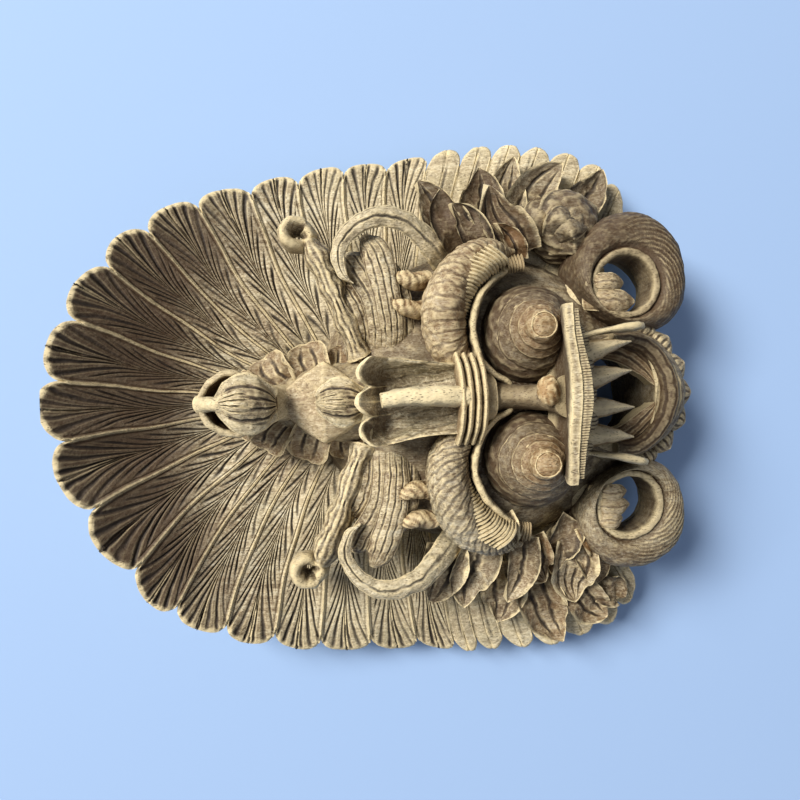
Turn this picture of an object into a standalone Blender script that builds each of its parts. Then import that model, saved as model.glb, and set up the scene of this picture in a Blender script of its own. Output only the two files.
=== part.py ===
"""A barong wall mask carved from one block of wood, lying on its hollow back.

The crown points along +Y, the face looks up along +Z, and X runs across the face.
The carving is laid out in millimetres of the mask at its real height and scaled by MM,
so that the pose and proportions follow HEIGHT. Walls that a carver sets by themselves,
such as the shell round the hollow and the thickness of the feathers, are real sizes.
"""

import math

import bmesh
import bpy
from mathutils import Vector

# Driving dimensions, in metres
HEIGHT = 0.398
SHELL_WALL = 0.016
FEATHER_THICKNESS = 0.008
MM = HEIGHT / 398.0

# The feather crown, in carving millimetres. The rim is one curve through hand-set points,
# from the left cheek over the crown to the right cheek, and the two sides differ a little
FEATHERS_A_SIDE = 9
CROWN_RIM = ((-177, -21), (-167, 74), (-122, 160), (0, 212), (106, 171), (153, 81), (171, -9))
CROWN_RIM_Z = 97.0
SIDE_RIM_Z = 27.0
RIM_Z_POWER = 1.55
ROOT_Z = 44.0
ROOT_CENTRE_Y = 24.0
ROOT_HALF_WIDTH = 22.0
ROOT_REACH = 58.0
ROOT_LAST_DEG = 118.0
FEATHER_BOW = 0.20
FEATHER_ROUND = 11.0
RUFF_ROUND = 7.0
FEATHER_SCOOP = 2.6

# The plain leaf lobes that carry the crown's rim down past the cheeks
RUFF_LOBES = 8
RUFF_RIM = ((176, -60), (174, -102), (160, -143), (124, -169))
RUFF_ROOT = ((20, -4), (70, -30), (88, -70), (80, -108), (56, -124))

# The face block and its hollow
FACE_Y = -52.0
FACE_HALF_WIDTH = 98.0
FACE_HALF_HEIGHT = 112.0
FACE_TOP_Z = 77.0
HOLLOW_TOP_Z = 50.0

# Eyes, brows, snout and mouth
EYE_X = 38.5
EYE_Y = -80.0
EYE_RADIUS = 30.0
EYE_TOP_Z = 121.5
SNOUT_TOP_Z = 150.0
SNOUT_HALF_WIDTH = 46.0
SNOUT_EDGE = 6.5
MOUTH_Y = -137.0
MOUTH_HALF_WIDTH = 30.0
MOUTH_HALF_HEIGHT = 20.0
CHIN_HALF_WIDTH = 42.0
CHIN_HALF_HEIGHT = 43.0
CHIN_TOP_Z = 78.0

# The rings beside the mouth
RING_X = 69.0
RING_Y = -146.0
RING_HOLE = 13.0
RING_REACH = {1: 50.0, -1: 44.0}

WOOD = (0.46, 0.33, 0.19, 1.0)

# The triangles kept after the solids are joined, so that the solid stays light
KEPT_TRIANGLES = 9600


def clear_scene():
    for obj in list(bpy.data.objects):
        bpy.data.objects.remove(obj)


def lerp(a, b, t):
    return a + (b - a) * t


def keyed(keys, t):
    """The value at t of a smooth curve through (place, value) keys."""
    for (t0, v0), (t1, v1) in zip(keys, keys[1:]):
        if t <= t1:
            s = min(1.0, max(0.0, (t - t0) / (t1 - t0)))
            return lerp(v0, v1, s * s * (3 - 2 * s))
    return keys[-1][1]


def curve_point(four, t):
    """A point of the Catmull-Rom curve from the second of four points to the third."""
    a, b, c, d = four
    bend = 2 * a - 5 * b + 4 * c - d
    return 0.5 * (2 * b + (c - a) * t + bend * t * t + (3 * b - a - 3 * c + d) * t * t * t)


def smooth_path(points, count):
    """count + 1 points on a Catmull-Rom curve through the given ones."""
    p = [Vector(q) for q in points]
    p = [p[0] * 2 - p[1]] + p + [p[-1] * 2 - p[-2]]
    spans = len(p) - 3
    path = []
    for i in range(count + 1):
        place = i * spans / count
        k = min(int(place), spans - 1)
        path.append(curve_point(p[k : k + 4], place - k))
    return path


def on_curve(points, t):
    """(x, y) at a share t of a smooth curve through flat points."""
    p = [Vector(q) for q in points]
    p = [p[0] * 2 - p[1]] + p + [p[-1] * 2 - p[-2]]
    place = min(t, 1.0) * (len(p) - 3)
    k = min(int(place), len(p) - 4)
    return curve_point(p[k : k + 4], place - k)


def frames_along(path):
    """(tangent, sideways, outward) at each point, with outward kept as near +Z as it can be."""
    frames = []
    for i in range(len(path)):
        ahead = path[min(i + 1, len(path) - 1)] - path[max(i - 1, 0)]
        tangent = ahead.normalized()
        side = tangent.cross(Vector((0, 0, 1)))
        side = side.normalized() if side.length > 0.05 else Vector((1, 0, 0))
        frames.append((tangent, side, side.cross(tangent)))
    return frames


def solid_from(bm):
    """A mesh in metres from a closed bmesh in carving millimetres, its faces pointing out."""
    bmesh.ops.remove_doubles(bm, verts=bm.verts, dist=0.01)
    bmesh.ops.recalc_face_normals(bm, faces=bm.faces)
    bmesh.ops.scale(bm, vec=(MM, MM, MM), verts=bm.verts)
    mesh = bpy.data.meshes.new("carved")
    bm.to_mesh(mesh)
    bm.free()
    return mesh


def bridged(rings, closed=False):
    """A closed solid from rings of equal counts of points, capped at both ends or joined end to end."""
    bm = bmesh.new()
    made = [[bm.verts.new(p) for p in ring] for ring in rings]
    n = len(made[0])
    pairs = list(zip(made, made[1:])) + ([(made[-1], made[0])] if closed else [])
    for a, b in pairs:
        for j in range(n):
            bm.faces.new((a[j], a[(j + 1) % n], b[(j + 1) % n], b[j]))
    if not closed:
        bm.faces.new(made[0])
        bm.faces.new(made[-1])
    return solid_from(bm)


def sheet_solid(top, bottom):
    """A closed solid between two grids of points. The lower grid has as many rows, or fewer columns."""
    bm = bmesh.new()
    upper, lower = [[[bm.verts.new(p) for p in row] for row in grid] for grid in (top, bottom)]
    for grid in (upper, lower):
        for a, b in zip(grid, grid[1:]):
            for j in range(len(a) - 1):
                bm.faces.new((a[j], a[j + 1], b[j + 1], b[j]))
    for k in (0, -1):
        for (a, c), (b, d) in zip(zip(upper, lower), zip(upper[1:], lower[1:])):
            bm.faces.new((a[k], b[k], d[k], c[k]))
        bm.faces.new(upper[k] + lower[k][::-1])
    return solid_from(bm)


def limb(points, wide, tall, steps, sides=8, squareness=1.0):
    """A tapering round or oval limb along a path. wide and tall are (place, half size) keys."""
    path = smooth_path(points, steps)
    rings = []
    for i, (centre, (_, side, out)) in enumerate(zip(path, frames_along(path))):
        t = i / steps
        w, h = keyed(wide, t), keyed(tall, t)
        ring = []
        for j in range(sides):
            a = 2 * math.pi * (j + 0.5) / sides
            c, s = math.cos(a), math.sin(a)
            c = math.copysign(abs(c) ** squareness, c)
            s = math.copysign(abs(s) ** squareness, s)
            ring.append(centre + side * (w * c) + out * (h * s))
        rings.append(ring)
    return bridged(rings)


def leaf(points, half_width, thickness, cup=0.25, flute=0.0, steps=4, columns=4, keys=None):
    """A carved leaf: a cupped blade along a path, widest before its middle, ending in a point."""
    keys = keys or ((0, 0.55), (0.4, 1.0), (0.75, 0.72), (1, 0.06))
    path = smooth_path(points, steps)
    top, bottom = [], []
    for i, (centre, (_, side, out)) in enumerate(zip(path, frames_along(path))):
        w = half_width * keyed(keys, i / steps)
        upper, lower = [], []
        for j in range(columns + 1):
            across = 2 * j / columns - 1
            rise = cup * w * across * across
            rise += flute * math.cos(across * math.pi * columns / 2)
            point = centre + side * (across * w) + out * rise
            upper.append(point)
            lower.append(point - out * thickness)
        top.append(upper)
        bottom.append(lower)
    return sheet_solid(top, bottom)


def lathe(profile, centre, axis, sides, squash=(1.0, 1.0)):
    """A turned solid from (radius, height) pairs, along axis from centre. Its ends are flat."""
    axis = Vector(axis).normalized()
    across = Vector((1, 0, 0)) if abs(axis.x) < 0.7 else Vector((0, 1, 0))
    up = axis.cross(across).normalized()
    across = up.cross(axis)
    rings = []
    for radius, height in profile:
        ring = []
        for j in range(sides):
            a = 2 * math.pi * j / sides
            flat = across * (math.cos(a) * radius * squash[0]) + up * (math.sin(a) * radius * squash[1])
            ring.append(Vector(centre) + axis * height + flat)
        rings.append(ring)
    return bridged(rings)


def mirrored(points):
    return [(-x, y, z) for x, y, z in points]


class Carving:
    """The solids that one Boolean joins or cuts."""

    def __init__(self, name):
        self.collection = bpy.data.collections.new(name)
        bpy.context.scene.collection.children.link(self.collection)

    def add(self, name, mesh):
        obj = bpy.data.objects.new(name, mesh)
        obj.hide_render = True
        obj.display_type = "WIRE"
        self.collection.objects.link(obj)


def both_sides(carving, name, make):
    """Adds a piece of the right side and its mirror image, each made by make(side)."""
    for side, word in ((1, "right"), (-1, "left")):
        carving.add(f"{name}_{word}", make(side))


# Feather crown and ruff


def rim_point(place):
    """(x, y, z) of the rim for a signed place: up to 1 is feathers and up to 2 is the ruff."""
    mirrored_ruff = [(-x, y) for x, y in reversed(RUFF_RIM)]
    points = mirrored_ruff + list(CROWN_RIM) + list(RUFF_RIM)
    side, p = math.copysign(1, place), abs(place)
    spans = min(p, 1.0) * (len(CROWN_RIM) // 2) + max(p - 1.0, 0.0) * len(RUFF_RIM)
    x, y = on_curve(points, 0.5 + side * spans / (len(points) - 1))
    top, low = CROWN_RIM[3][1], CROWN_RIM[-1][1]
    height = max(0.0, (y - low) / (top - low)) ** RIM_Z_POWER
    return Vector((x, y, lerp(SIDE_RIM_Z, CROWN_RIM_Z, min(1.0, height))))


def root_point(place):
    """Where the feather or lobe at a signed place leaves the head."""
    side, p = math.copysign(1, place), abs(place)
    if p <= 1:
        angle = math.radians(ROOT_LAST_DEG) * p
        x = ROOT_HALF_WIDTH * math.sin(angle)
        return Vector((side * x, ROOT_CENTRE_Y + ROOT_REACH * math.cos(angle), ROOT_Z))
    x, y = on_curve(RUFF_ROOT, p - 1)
    return Vector((side * x, y, lerp(ROOT_Z, 38.0, p - 1)))


def crown_point(place, along, drop=0.0):
    """A point of the crown's sheet, from the root at along 0 to the rim at along 1."""
    root, rim = root_point(place), rim_point(place)
    bow = FEATHER_BOW * max(0.0, 1 - abs(place) * 0.75)
    inward = -0.25 * (rim.y - root.y) * max(-1.0, min(1.0, place * 5))
    middle = (root + rim) / 2 + Vector((inward, abs(rim.x - root.x), 0)) * bow
    flat = root * (1 - along) ** 2 + middle * (2 * along * (1 - along)) + rim * along**2
    z = root.z + (rim.z - root.z) * along**1.9
    return Vector((flat.x, flat.y, z - drop))


def crown_sheet():
    """The whole crown as one scalloped sheet: each feather is scooped across and rounded at its tip."""
    edges = [(i + 0.5) / FEATHERS_A_SIDE for i in range(FEATHERS_A_SIDE)]
    lobes = [1 + (k + 0.5) / RUFF_LOBES for k in range(RUFF_LOBES)]
    bounds = [-b for b in reversed(edges + lobes)] + edges + lobes
    top, bottom = [], []
    for start, end in zip(bounds, bounds[1:]):
        feathered = max(abs(start), abs(end)) <= 1
        columns = 4 if feathered else 3
        for c in range(columns):
            upper, lower = crown_column(lerp(start, end, c / columns), c / columns, feathered)
            top.append(upper)
            bottom.append(lower)
    upper, lower = crown_column(bounds[-1], 0.0, False)
    return sheet_solid(top + [upper], bottom + [lower])


def crown_column(place, across, feathered):
    """The upper and lower points of one column, from root to rim. across runs from 0 at an edge to 1."""
    arch = 1 - (2 * across - 1) ** 2
    back = (1 - arch) * (FEATHER_ROUND if feathered else RUFF_ROUND)
    reach = 1 - back / (rim_point(place) - root_point(place)).length
    upper, lower = [], []
    for share in (0.0, 0.35, 0.62, 0.84, 1.0):
        along = reach * share
        scoop = FEATHER_SCOOP * arch * (0.3 + 0.7 * share)
        upper.append(crown_point(place, along, scoop))
        if share in (0.0, 0.62, 1.0):
            lower.append(crown_point(place, along, FEATHER_THICKNESS / MM * (1.5 - 0.5 * share)))
    return upper, lower


# Face block, hollow and mouth


def dome(centre, a, b, levels, sides, power=1.0):
    """A solid of stacked ovals: levels are (height, share of the full size)."""
    rings = []
    for z, share in levels:
        ring = []
        for j in range(sides):
            angle = 2 * math.pi * j / sides
            c, s = math.cos(angle), math.sin(angle)
            c = math.copysign(abs(c) ** power, c)
            s = math.copysign(abs(s) ** power, s)
            ring.append((centre[0] + a * share * c, centre[1] + b * share * s, z))
        rings.append(ring)
    return bridged(rings)


def face_block():
    levels = ((0, 0.90), (10, 0.97), (28, 1.0), (48, 0.95), (62, 0.84), (72, 0.66), (76, 0.40))
    levels += ((FACE_TOP_Z, 0.10),)
    return dome((0, FACE_Y), FACE_HALF_WIDTH, FACE_HALF_HEIGHT, levels, 32)


def hollow():
    """The space behind the face, SHELL_WALL inside the block's rim."""
    wall = SHELL_WALL / MM
    a = FACE_HALF_WIDTH * 0.90 - wall
    b = FACE_HALF_HEIGHT * 0.90 - wall
    levels = ((-3, 1.0), (10, 0.99), (28, 0.88), (40, 0.68), (47, 0.42), (HOLLOW_TOP_Z, 0.12))
    return dome((0, FACE_Y), a, b, levels, 24)


def mouth_hole():
    levels = ((-3, 1.0), (60, 1.0), (130, 1.08))
    return dome((0, MOUTH_Y), MOUTH_HALF_WIDTH, MOUTH_HALF_HEIGHT, levels, 20, 0.8)


def chin_block():
    levels = ((4, 0.90), (16, 1.0), (62, 1.0), (72, 0.94), (CHIN_TOP_Z, 0.84))
    return dome((0, MOUTH_Y), CHIN_HALF_WIDTH, CHIN_HALF_HEIGHT, levels, 24)


def forehead_crest():
    path = ((0, -16, 62), (0, 20, 64), (0, 52, 60), (0, 90, 50))
    wide = ((0, 26), (0.35, 27), (0.7, 23), (1, 13))
    tall = ((0, 30), (0.5, 26), (1, 14))
    return limb(path, wide, tall, 6, 10)


# Eyes and lids


def eye(side):
    profile = ((EYE_RADIUS, 0), (EYE_RADIUS, 10), (26, 19), (22, 21.5), (20.5, 27))
    profile += ((15, 30), (13.5, 36), (8.5, 38.5), (7, 46), (3, 49))
    return lathe(profile, (side * EYE_X, EYE_Y, EYE_TOP_Z - 49.5), (0, 0, 1), 18)


def lid(side):
    """The thin raised rim on the crown side of each eye, from the nose round to the temple."""
    points = []
    for angle, radius, z in ((132, 36, 92), (105, 36.5, 95), (75, 37, 96), (45, 37, 93), (15, 40, 86), (-8, 45, 78)):
        a = math.radians(angle)
        points.append((side * (EYE_X + radius * math.cos(a)), EYE_Y + radius * math.sin(a), z - 16))
    return limb(points, ((0, 2.6), (1, 3.0)), ((0, 20), (1, 20)), 10, 6)


def cheek_fold(side):
    """The soft fold that closes the eye's socket towards the mouth."""
    points = []
    for angle, radius, z in ((-10, 45, 72), (-40, 43, 76), (-70, 41, 78), (-100, 38, 80)):
        a = math.radians(angle)
        points.append((side * (EYE_X + radius * math.cos(a)), EYE_Y + radius * math.sin(a), z - 14))
    return limb(points, ((0, 4), (0.5, 5.5), (1, 4)), ((0, 15), (1, 16)), 8, 6)


def brow(side):
    """The heavy brow: a fat roll that follows the lid, ribbed across."""
    points = []
    for angle, radius, z in ((112, 46, 80), (90, 52, 83), (65, 56, 82), (42, 58, 76), (20, 52, 66)):
        a = math.radians(angle)
        points.append((side * (EYE_X + radius * math.cos(a)), EYE_Y + radius * math.sin(a), z))
    path_steps, sides = 18, 8
    path = smooth_path(points, path_steps)
    rings = []
    for i, (centre, (_, across, out)) in enumerate(zip(path, frames_along(path))):
        t = i / path_steps
        ripple = 1.0 if i % 2 else 0.93
        w = keyed(((0, 6), (0.25, 12.5), (0.6, 14), (1, 4.5)), t) * ripple
        h = keyed(((0, 12), (0.3, 18), (0.7, 18), (1, 10)), t) * ripple
        ring = []
        for j in range(sides):
            a = 2 * math.pi * (j + 0.5) / sides
            ring.append(centre + across * (w * math.cos(a)) + out * (h * math.sin(a)))
        rings.append(ring)
    return bridged(rings)


def brow_spur(side, x, y):
    """One of the small horns that stand on each brow."""
    path = ((side * x, y - 20, 74), (side * x, y - 8, 80), (side * x, y + 4, 84))
    return limb(path, ((0, 5.5), (0.6, 5), (1, 1.2)), ((0, 7), (0.6, 5), (1, 1.2)), 4, 6)


# Snout, gum and teeth


def snout():
    """A scoop that sweeps up from between the eyes to a wide thin edge, bowed at its middle."""
    steps = 12
    rings = []
    for i in range(steps + 1):
        x = SNOUT_HALF_WIDTH * (2 * i / steps - 1)
        bow = math.cos(math.pi * x / (2 * SNOUT_HALF_WIDTH)) ** 2
        edge = -83.0 - 9.0 * bow
        top = SNOUT_TOP_Z - 6 * (x / SNOUT_HALF_WIDTH) ** 4
        half = SNOUT_EDGE / 2
        foot = lerp(100.0, 78.0, bow**0.5)
        deep = lerp(8.0, 20.0, bow)
        rings.append(
            (
                (x, edge + half, top),
                (x, edge + half + 1.5, lerp(foot, top, 0.55)),
                (x * 0.9, edge + half + deep * 0.45, lerp(foot, top, 0.22)),
                (x * 0.8, edge + half + deep, foot),
                (x * 0.8, edge - half - deep, foot),
                (x * 0.92, edge - half - deep * 0.5, lerp(foot, top, 0.30)),
                (x, edge - half - 1.0, lerp(foot, top, 0.75)),
                (x, edge - half, top),
            )
        )
    return bridged(rings)


def nose_bridge():
    """The saddle between the eyes, from the frown folds to the foot of the snout."""
    path = ((0, -44, 78), (0, -62, 78), (0, -82, 80))
    return limb(path, ((0, 17), (0.5, 11), (1, 14)), ((0, 18), (0.5, 14), (1, 16)), 4, 8)


def nose_bead():
    return lathe(((3, -9), (8, -4), (9.5, 1), (7, 6), (2.5, 8.5)), (0, -81, 94), (0, 0.5, 1), 10, (1.0, 0.7))


def frown_fold(y, z):
    path = ((-20, y + 2, z - 5), (-11, y, z), (0, y - 1.5, z + 1), (11, y, z), (20, y + 2, z - 5))
    return limb(path, ((0, 2.6), (1, 2.6)), ((0, 8), (0.5, 10), (1, 8)), 6, 6)


def gum():
    """The upper gum, under the snout's edge, that carries the fangs."""
    path = ((-38, -106, 84), (-20, -109, 88), (0, -110, 88), (20, -109, 88), (38, -106, 84))
    return limb(path, ((0, 6), (0.3, 8), (0.7, 8), (1, 6)), ((0, 14), (0.5, 16), (1, 14)), 8, 8)


def fang(x, length, width):
    path = ((x, -106, 95), (x * 1.02, -118, 99), (x * 1.05, -111 - length, 99))
    return limb(path, ((0, width), (0.5, width * 0.8), (1, 0.5)), ((0, 7), (0.5, 5), (1, 0.6)), 4, 6)


def tusk(side):
    """The flat tusk that rises from each corner of the mouth."""
    path = ((side * 34, -104, 86), (side * 35.5, -122, 92), (side * 38.5, -145, 96))
    return limb(path, ((0, 2.6), (1, 2.2)), ((0, 9), (0.6, 8), (1, 6)), 4, 6)


def lower_lip():
    points = []
    for angle in (175, 200, 230, 270, 310, 340, 365):
        a = math.radians(angle)
        points.append((33.5 * math.cos(a), MOUTH_Y + 30 * math.sin(a), 78 + 4 * math.sin(a)))
    return limb(points, ((0, 4), (0.5, 5.5), (1, 4)), ((0, 9), (0.5, 9), (1, 9)), 14, 6)


def beard_scallop(angle):
    a = math.radians(angle)
    c, s = math.cos(a), math.sin(a)
    root = (0.8 * CHIN_HALF_WIDTH * c, MOUTH_Y + 0.8 * CHIN_HALF_HEIGHT * s, 60)
    middle = (1.0 * CHIN_HALF_WIDTH * c, MOUTH_Y + 1.0 * CHIN_HALF_HEIGHT * s, 62)
    tip = (1.0 * CHIN_HALF_WIDTH * c + 6.0 * c, MOUTH_Y + CHIN_HALF_HEIGHT * s + 6.0 * s, 60)
    keys = ((0, 0.9), (0.6, 1.0), (1, 0.55))
    return leaf((root, middle, tip), 7.2, 13, -0.2, 0.0, 2, 4, keys)


# Cheeks: rings, petals, ear rosettes and leaves


def cheek_ring(side):
    """The great ring beside the mouth: a raised rim round a hole, then a band that falls outwards."""
    rings = []
    count = 16
    reaches = ((0, 0.94), (0.11, 0.86), (0.3, 0.52), (0.5, 0.40), (0.64, 0.76), (0.75, 0.80), (0.95, 1.0), (1, 0.94))
    for j in range(count):
        turn = j / count
        a = 2 * math.pi * turn
        outer = RING_REACH[side] * keyed(reaches, turn)
        lean = (1.0 - keyed(reaches, turn)) * 14
        ring = []
        sections = ((RING_HOLE, 36, 0), (RING_HOLE, 74, 0), (RING_HOLE + 4, 78, 0), (0, 70, 0.5), (0, 54, 1), (0, 34, 0.9))
        for base, z, share in sections:
            radius = base or lerp(RING_HOLE + 4, outer, share)
            x = RING_X + radius * math.cos(a)
            y = RING_Y + radius * math.sin(a)
            ring.append((side * x, y, z + (lean if share else 0)))
        rings.append(ring)
    return bridged(rings, closed=True)


def ring_root(side):
    """Wood that ties the ring to the cheek."""
    path = ((side * 60, -112, 40), (side * 70, -128, 40), (side * 88, -134, 40))
    return limb(path, ((0, 16), (0.6, 13), (1, 9)), ((0, 20), (1, 15)), 4, 8)


def ring_petal(side, x, y, reach):
    path = ((side * x, y, 40), (side * (x + 1), y - reach * 0.5, 43), (side * (x + 2), y - reach, 41))
    keys = ((0, 0.8), (0.6, 1.0), (1, 0.5))
    return leaf(path, 5.5, 8, -0.35, 0.0, 2, 4, keys)


def ear_rosette(side):
    """The crumpled rosette in front of each ear, scalloped towards the ring."""
    rings = []
    for r, z in ((0.90, 30), (1.0, 48), (0.86, 60), (0.5, 66), (0.14, 63)):
        ring = []
        for j in range(20):
            a = 2 * math.pi * j / 20
            lobe = 1 + 0.13 * math.cos(5 * a + 0.6) * r
            x = 105 + 21 * r * lobe * math.cos(a)
            y = -110 + 23 * r * lobe * math.sin(a)
            ring.append((side * x, y, z - 0.12 * (x - 95)))
        rings.append(ring)
    return bridged(rings)


CHEEK_LEAVES = (
    # root x, root y, tip x, tip y, half width, height of the middle, height of the tip
    (84, -20, 143, -6, 9.5, 52, 50),
    (90, -34, 139, -26, 8.5, 60, 58),
    (92, -48, 128, -40, 8.0, 66, 64),
    (92, -64, 141, -58, 11.5, 60, 58),
    (100, -82, 157, -100, 11.0, 50, 46),
    (104, -120, 150, -140, 10.0, 44, 40),
)


def cheek_leaf(side, root_x, root_y, tip_x, tip_y, half_width, middle_z, tip_z):
    bend = 5.0
    middle = ((root_x + tip_x) / 2, (root_y + tip_y) / 2 - bend, middle_z)
    path = ((side * root_x, root_y, 44), (side * middle[0], middle[1], middle[2]), (side * tip_x, tip_y, tip_z))
    return leaf(path, half_width, 12, 0.35, 0.9)


# Horns, tufts and curls beside the forehead


def horn(side):
    """The crescent horn that springs from the brow's outer end and curls over the tuft."""
    points = ((93, -24, 74), (107, -8, 84), (111, 10, 89), (104, 26, 92), (90, 35, 93), (77, 33, 92), (71, 26, 90))
    path = [(side * x, y, z) for x, y, z in points]
    return limb(path, ((0, 7.5), (0.5, 5.8), (0.85, 4), (1, 1.0)), ((0, 10), (0.5, 6.5), (1, 1.2)), 12, 6)


def horn_foot(side):
    path = ((side * 78, -40, 60), (side * 88, -30, 68), (side * 98, -18, 76))
    return limb(path, ((0, 12), (1, 7)), ((0, 14), (1, 9)), 4, 8)


def tuft(side, tip_x, tip_y, half_width, z):
    """One fluted leaf of the tuft inside each horn."""
    path = ((side * 26, 2, 66), (side * (26 + tip_x) / 2, tip_y * 0.5 - 4, z), (side * tip_x, tip_y, z))
    keys = ((0, 0.8), (0.5, 0.9), (0.85, 1.0), (1, 0.35))
    return leaf(path, half_width, 20, 0.15, 0.8, 4, 4, keys)


def curl_stem(side):
    """The stem behind the horn, with leaf sheaths along it, that ends in a curled knob."""
    path = ((side * 30, 24, 62), (side * 55, 34, 66), (side * 80, 43, 68), (side * 102, 55, 68))
    wide = ((0, 9), (0.3, 6), (0.5, 8.5), (0.65, 6.5), (0.85, 9.5), (1, 6))
    return limb(path, wide, ((0, 16), (0.5, 14), (1, 14)), 10, 8)


def curl_knob(side):
    points = []
    for angle in (-60, 0, 60, 120, 180, 240):
        a = math.radians(angle)
        points.append((side * (104 + 7 * math.cos(a)), 60 + 7 * math.sin(a), 66 + 8 * (angle + 60) / 300))
    return limb(points, ((0, 5), (0.6, 5.5), (1, 2.5)), ((0, 15), (0.7, 9), (1, 4)), 9, 6)


# Forehead: panel, buds, diamond and leaf collar


def panel():
    """The scooped jewel panel: two hollows beside a keel, and a three-lobed curled upper edge."""
    rows, columns = 6, 10
    top, bottom = [], []
    for i in range(rows + 1):
        t = i / rows
        upper, lower = [], []
        for j in range(columns + 1):
            across = 2 * j / columns - 1
            half = keyed(((0, 20), (0.55, 23), (0.85, 28), (1, 29)), t)
            lobe = 4.0 * abs(math.sin(across * 1.5 * math.pi)) * t**3
            x = half * across
            y = lerp(-36, 18, t) + lobe
            curl = keyed(((0, 3), (0.5, 0), (0.8, 4), (1, 16)), t)
            side_lift = 6 * abs(across) ** 4 * (1 - t * 0.4)
            scoop = -7 * math.sin(math.pi * min(1, abs(across) * 1.05)) * math.sin(math.pi * min(1, t * 1.1)) ** 0.7
            z = 96 + curl + side_lift + scoop
            upper.append((x, y, z))
            lower.append((x * 0.86, min(y, lerp(-30, 12, t)), lerp(70, 66, t)))
        top.append(upper)
        bottom.append(lower)
    return sheet_solid(top, bottom)


def keel():
    path = ((0, -36, 98), (0, -22, 104), (0, -4, 106), (0, 13, 107))
    return limb(path, ((0, 5.5), (0.3, 5), (0.8, 3.6), (1, 3.0)), ((0, 12), (0.5, 9), (1, 6)), 5, 8)


def diamond():
    """The stippled lozenge between the panel and the upper bud."""
    rings = []
    for share, z in ((1.0, 62), (1.0, 76), (0.8, 83), (0.42, 88), (0.1, 89)):
        ring = []
        for j in range(16):
            a = 2 * math.pi * j / 16
            c, s = math.cos(a), math.sin(a)
            reach = 1 / (abs(c) ** 1.3 + abs(s) ** 1.3) ** (1 / 1.3)
            ring.append((25 * share * reach * c, 46 + 34 * share * reach * s, z - 0.10 * s * 34))
        rings.append(ring)
    return bridged(rings)


def bud(centre, axis, length, radius, sides=12):
    """A pointed bud with raised petals."""
    rings = []
    axis = Vector(axis).normalized()
    across = Vector((1, 0, 0))
    up = axis.cross(across).normalized()
    for place, r in ((-0.5, 0.35), (-0.35, 0.8), (-0.1, 1.0), (0.15, 0.93), (0.35, 0.6), (0.5, 0.12)):
        ring = []
        for j in range(sides):
            a = 2 * math.pi * j / sides
            petal = 1.0 if j % 2 else 0.93
            flat = across * math.cos(a) - up * math.sin(a)
            ring.append(Vector(centre) + axis * (place * length) + flat * (radius * r * petal))
        rings.append(ring)
    return bridged(rings)


def bud_stalk():
    path = ((0, 62, 60), (0, 76, 72), (0, 84, 84))
    return limb(path, ((0, 13), (1, 10)), ((0, 14), (1, 9)), 3, 8)


def bud_hood():
    """The strap that arches behind the upper bud and touches its point."""
    points = []
    for angle in (-20, 15, 50, 90, 130, 165, 200):
        a = math.radians(angle)
        points.append((20 * math.cos(a), 92 + 27 * math.sin(a), 84 + 6 * math.sin(a)))
    return limb(points, ((0, 3), (0.5, 4), (1, 3)), ((0, 8), (0.5, 7), (1, 8)), 14, 6)


def hood_bridge():
    return limb(((0, 106, 96), (0, 113, 97), (0, 119, 92)), ((0, 7), (1, 6)), ((0, 4), (1, 4)), 3, 6)


def hood_foot(side):
    path = ((side * 12, 72, 56), (side * 18, 80, 66), (side * 20, 90, 80))
    return limb(path, ((0, 6), (1, 4)), ((0, 8), (1, 6)), 4, 6)


COLLAR_TIPS = ((22, 96, 8.0), (35, 78, 9.0), (40, 56, 9.5), (44, 34, 8.5))


def collar_leaf(side, x, y, half_width):
    path = ((side * x * 0.25, y * 0.45 + 24, 60), (side * x * 0.65, y * 0.8 + 8, 61), (side * x, y, 55))
    keys = ((0, 0.8), (0.6, 1.0), (1, 0.6))
    return leaf(path, half_width, 14, -0.15, 0.6, 3, 4, keys)


def body_solids(carving):
    """Everything that the hollow and the mouth may cut."""
    carving.add("crown", crown_sheet())
    carving.add("chin", chin_block())
    carving.add("crest", forehead_crest())
    carving.add("snout", snout())
    carving.add("nose_bridge", nose_bridge())
    carving.add("gum", gum())
    carving.add("lower_lip", lower_lip())
    for make, name in ((eye, "eye"), (lid, "lid"), (cheek_fold, "fold"), (brow, "brow"), (ring_root, "ring_root")):
        both_sides(carving, name, make)


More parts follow.
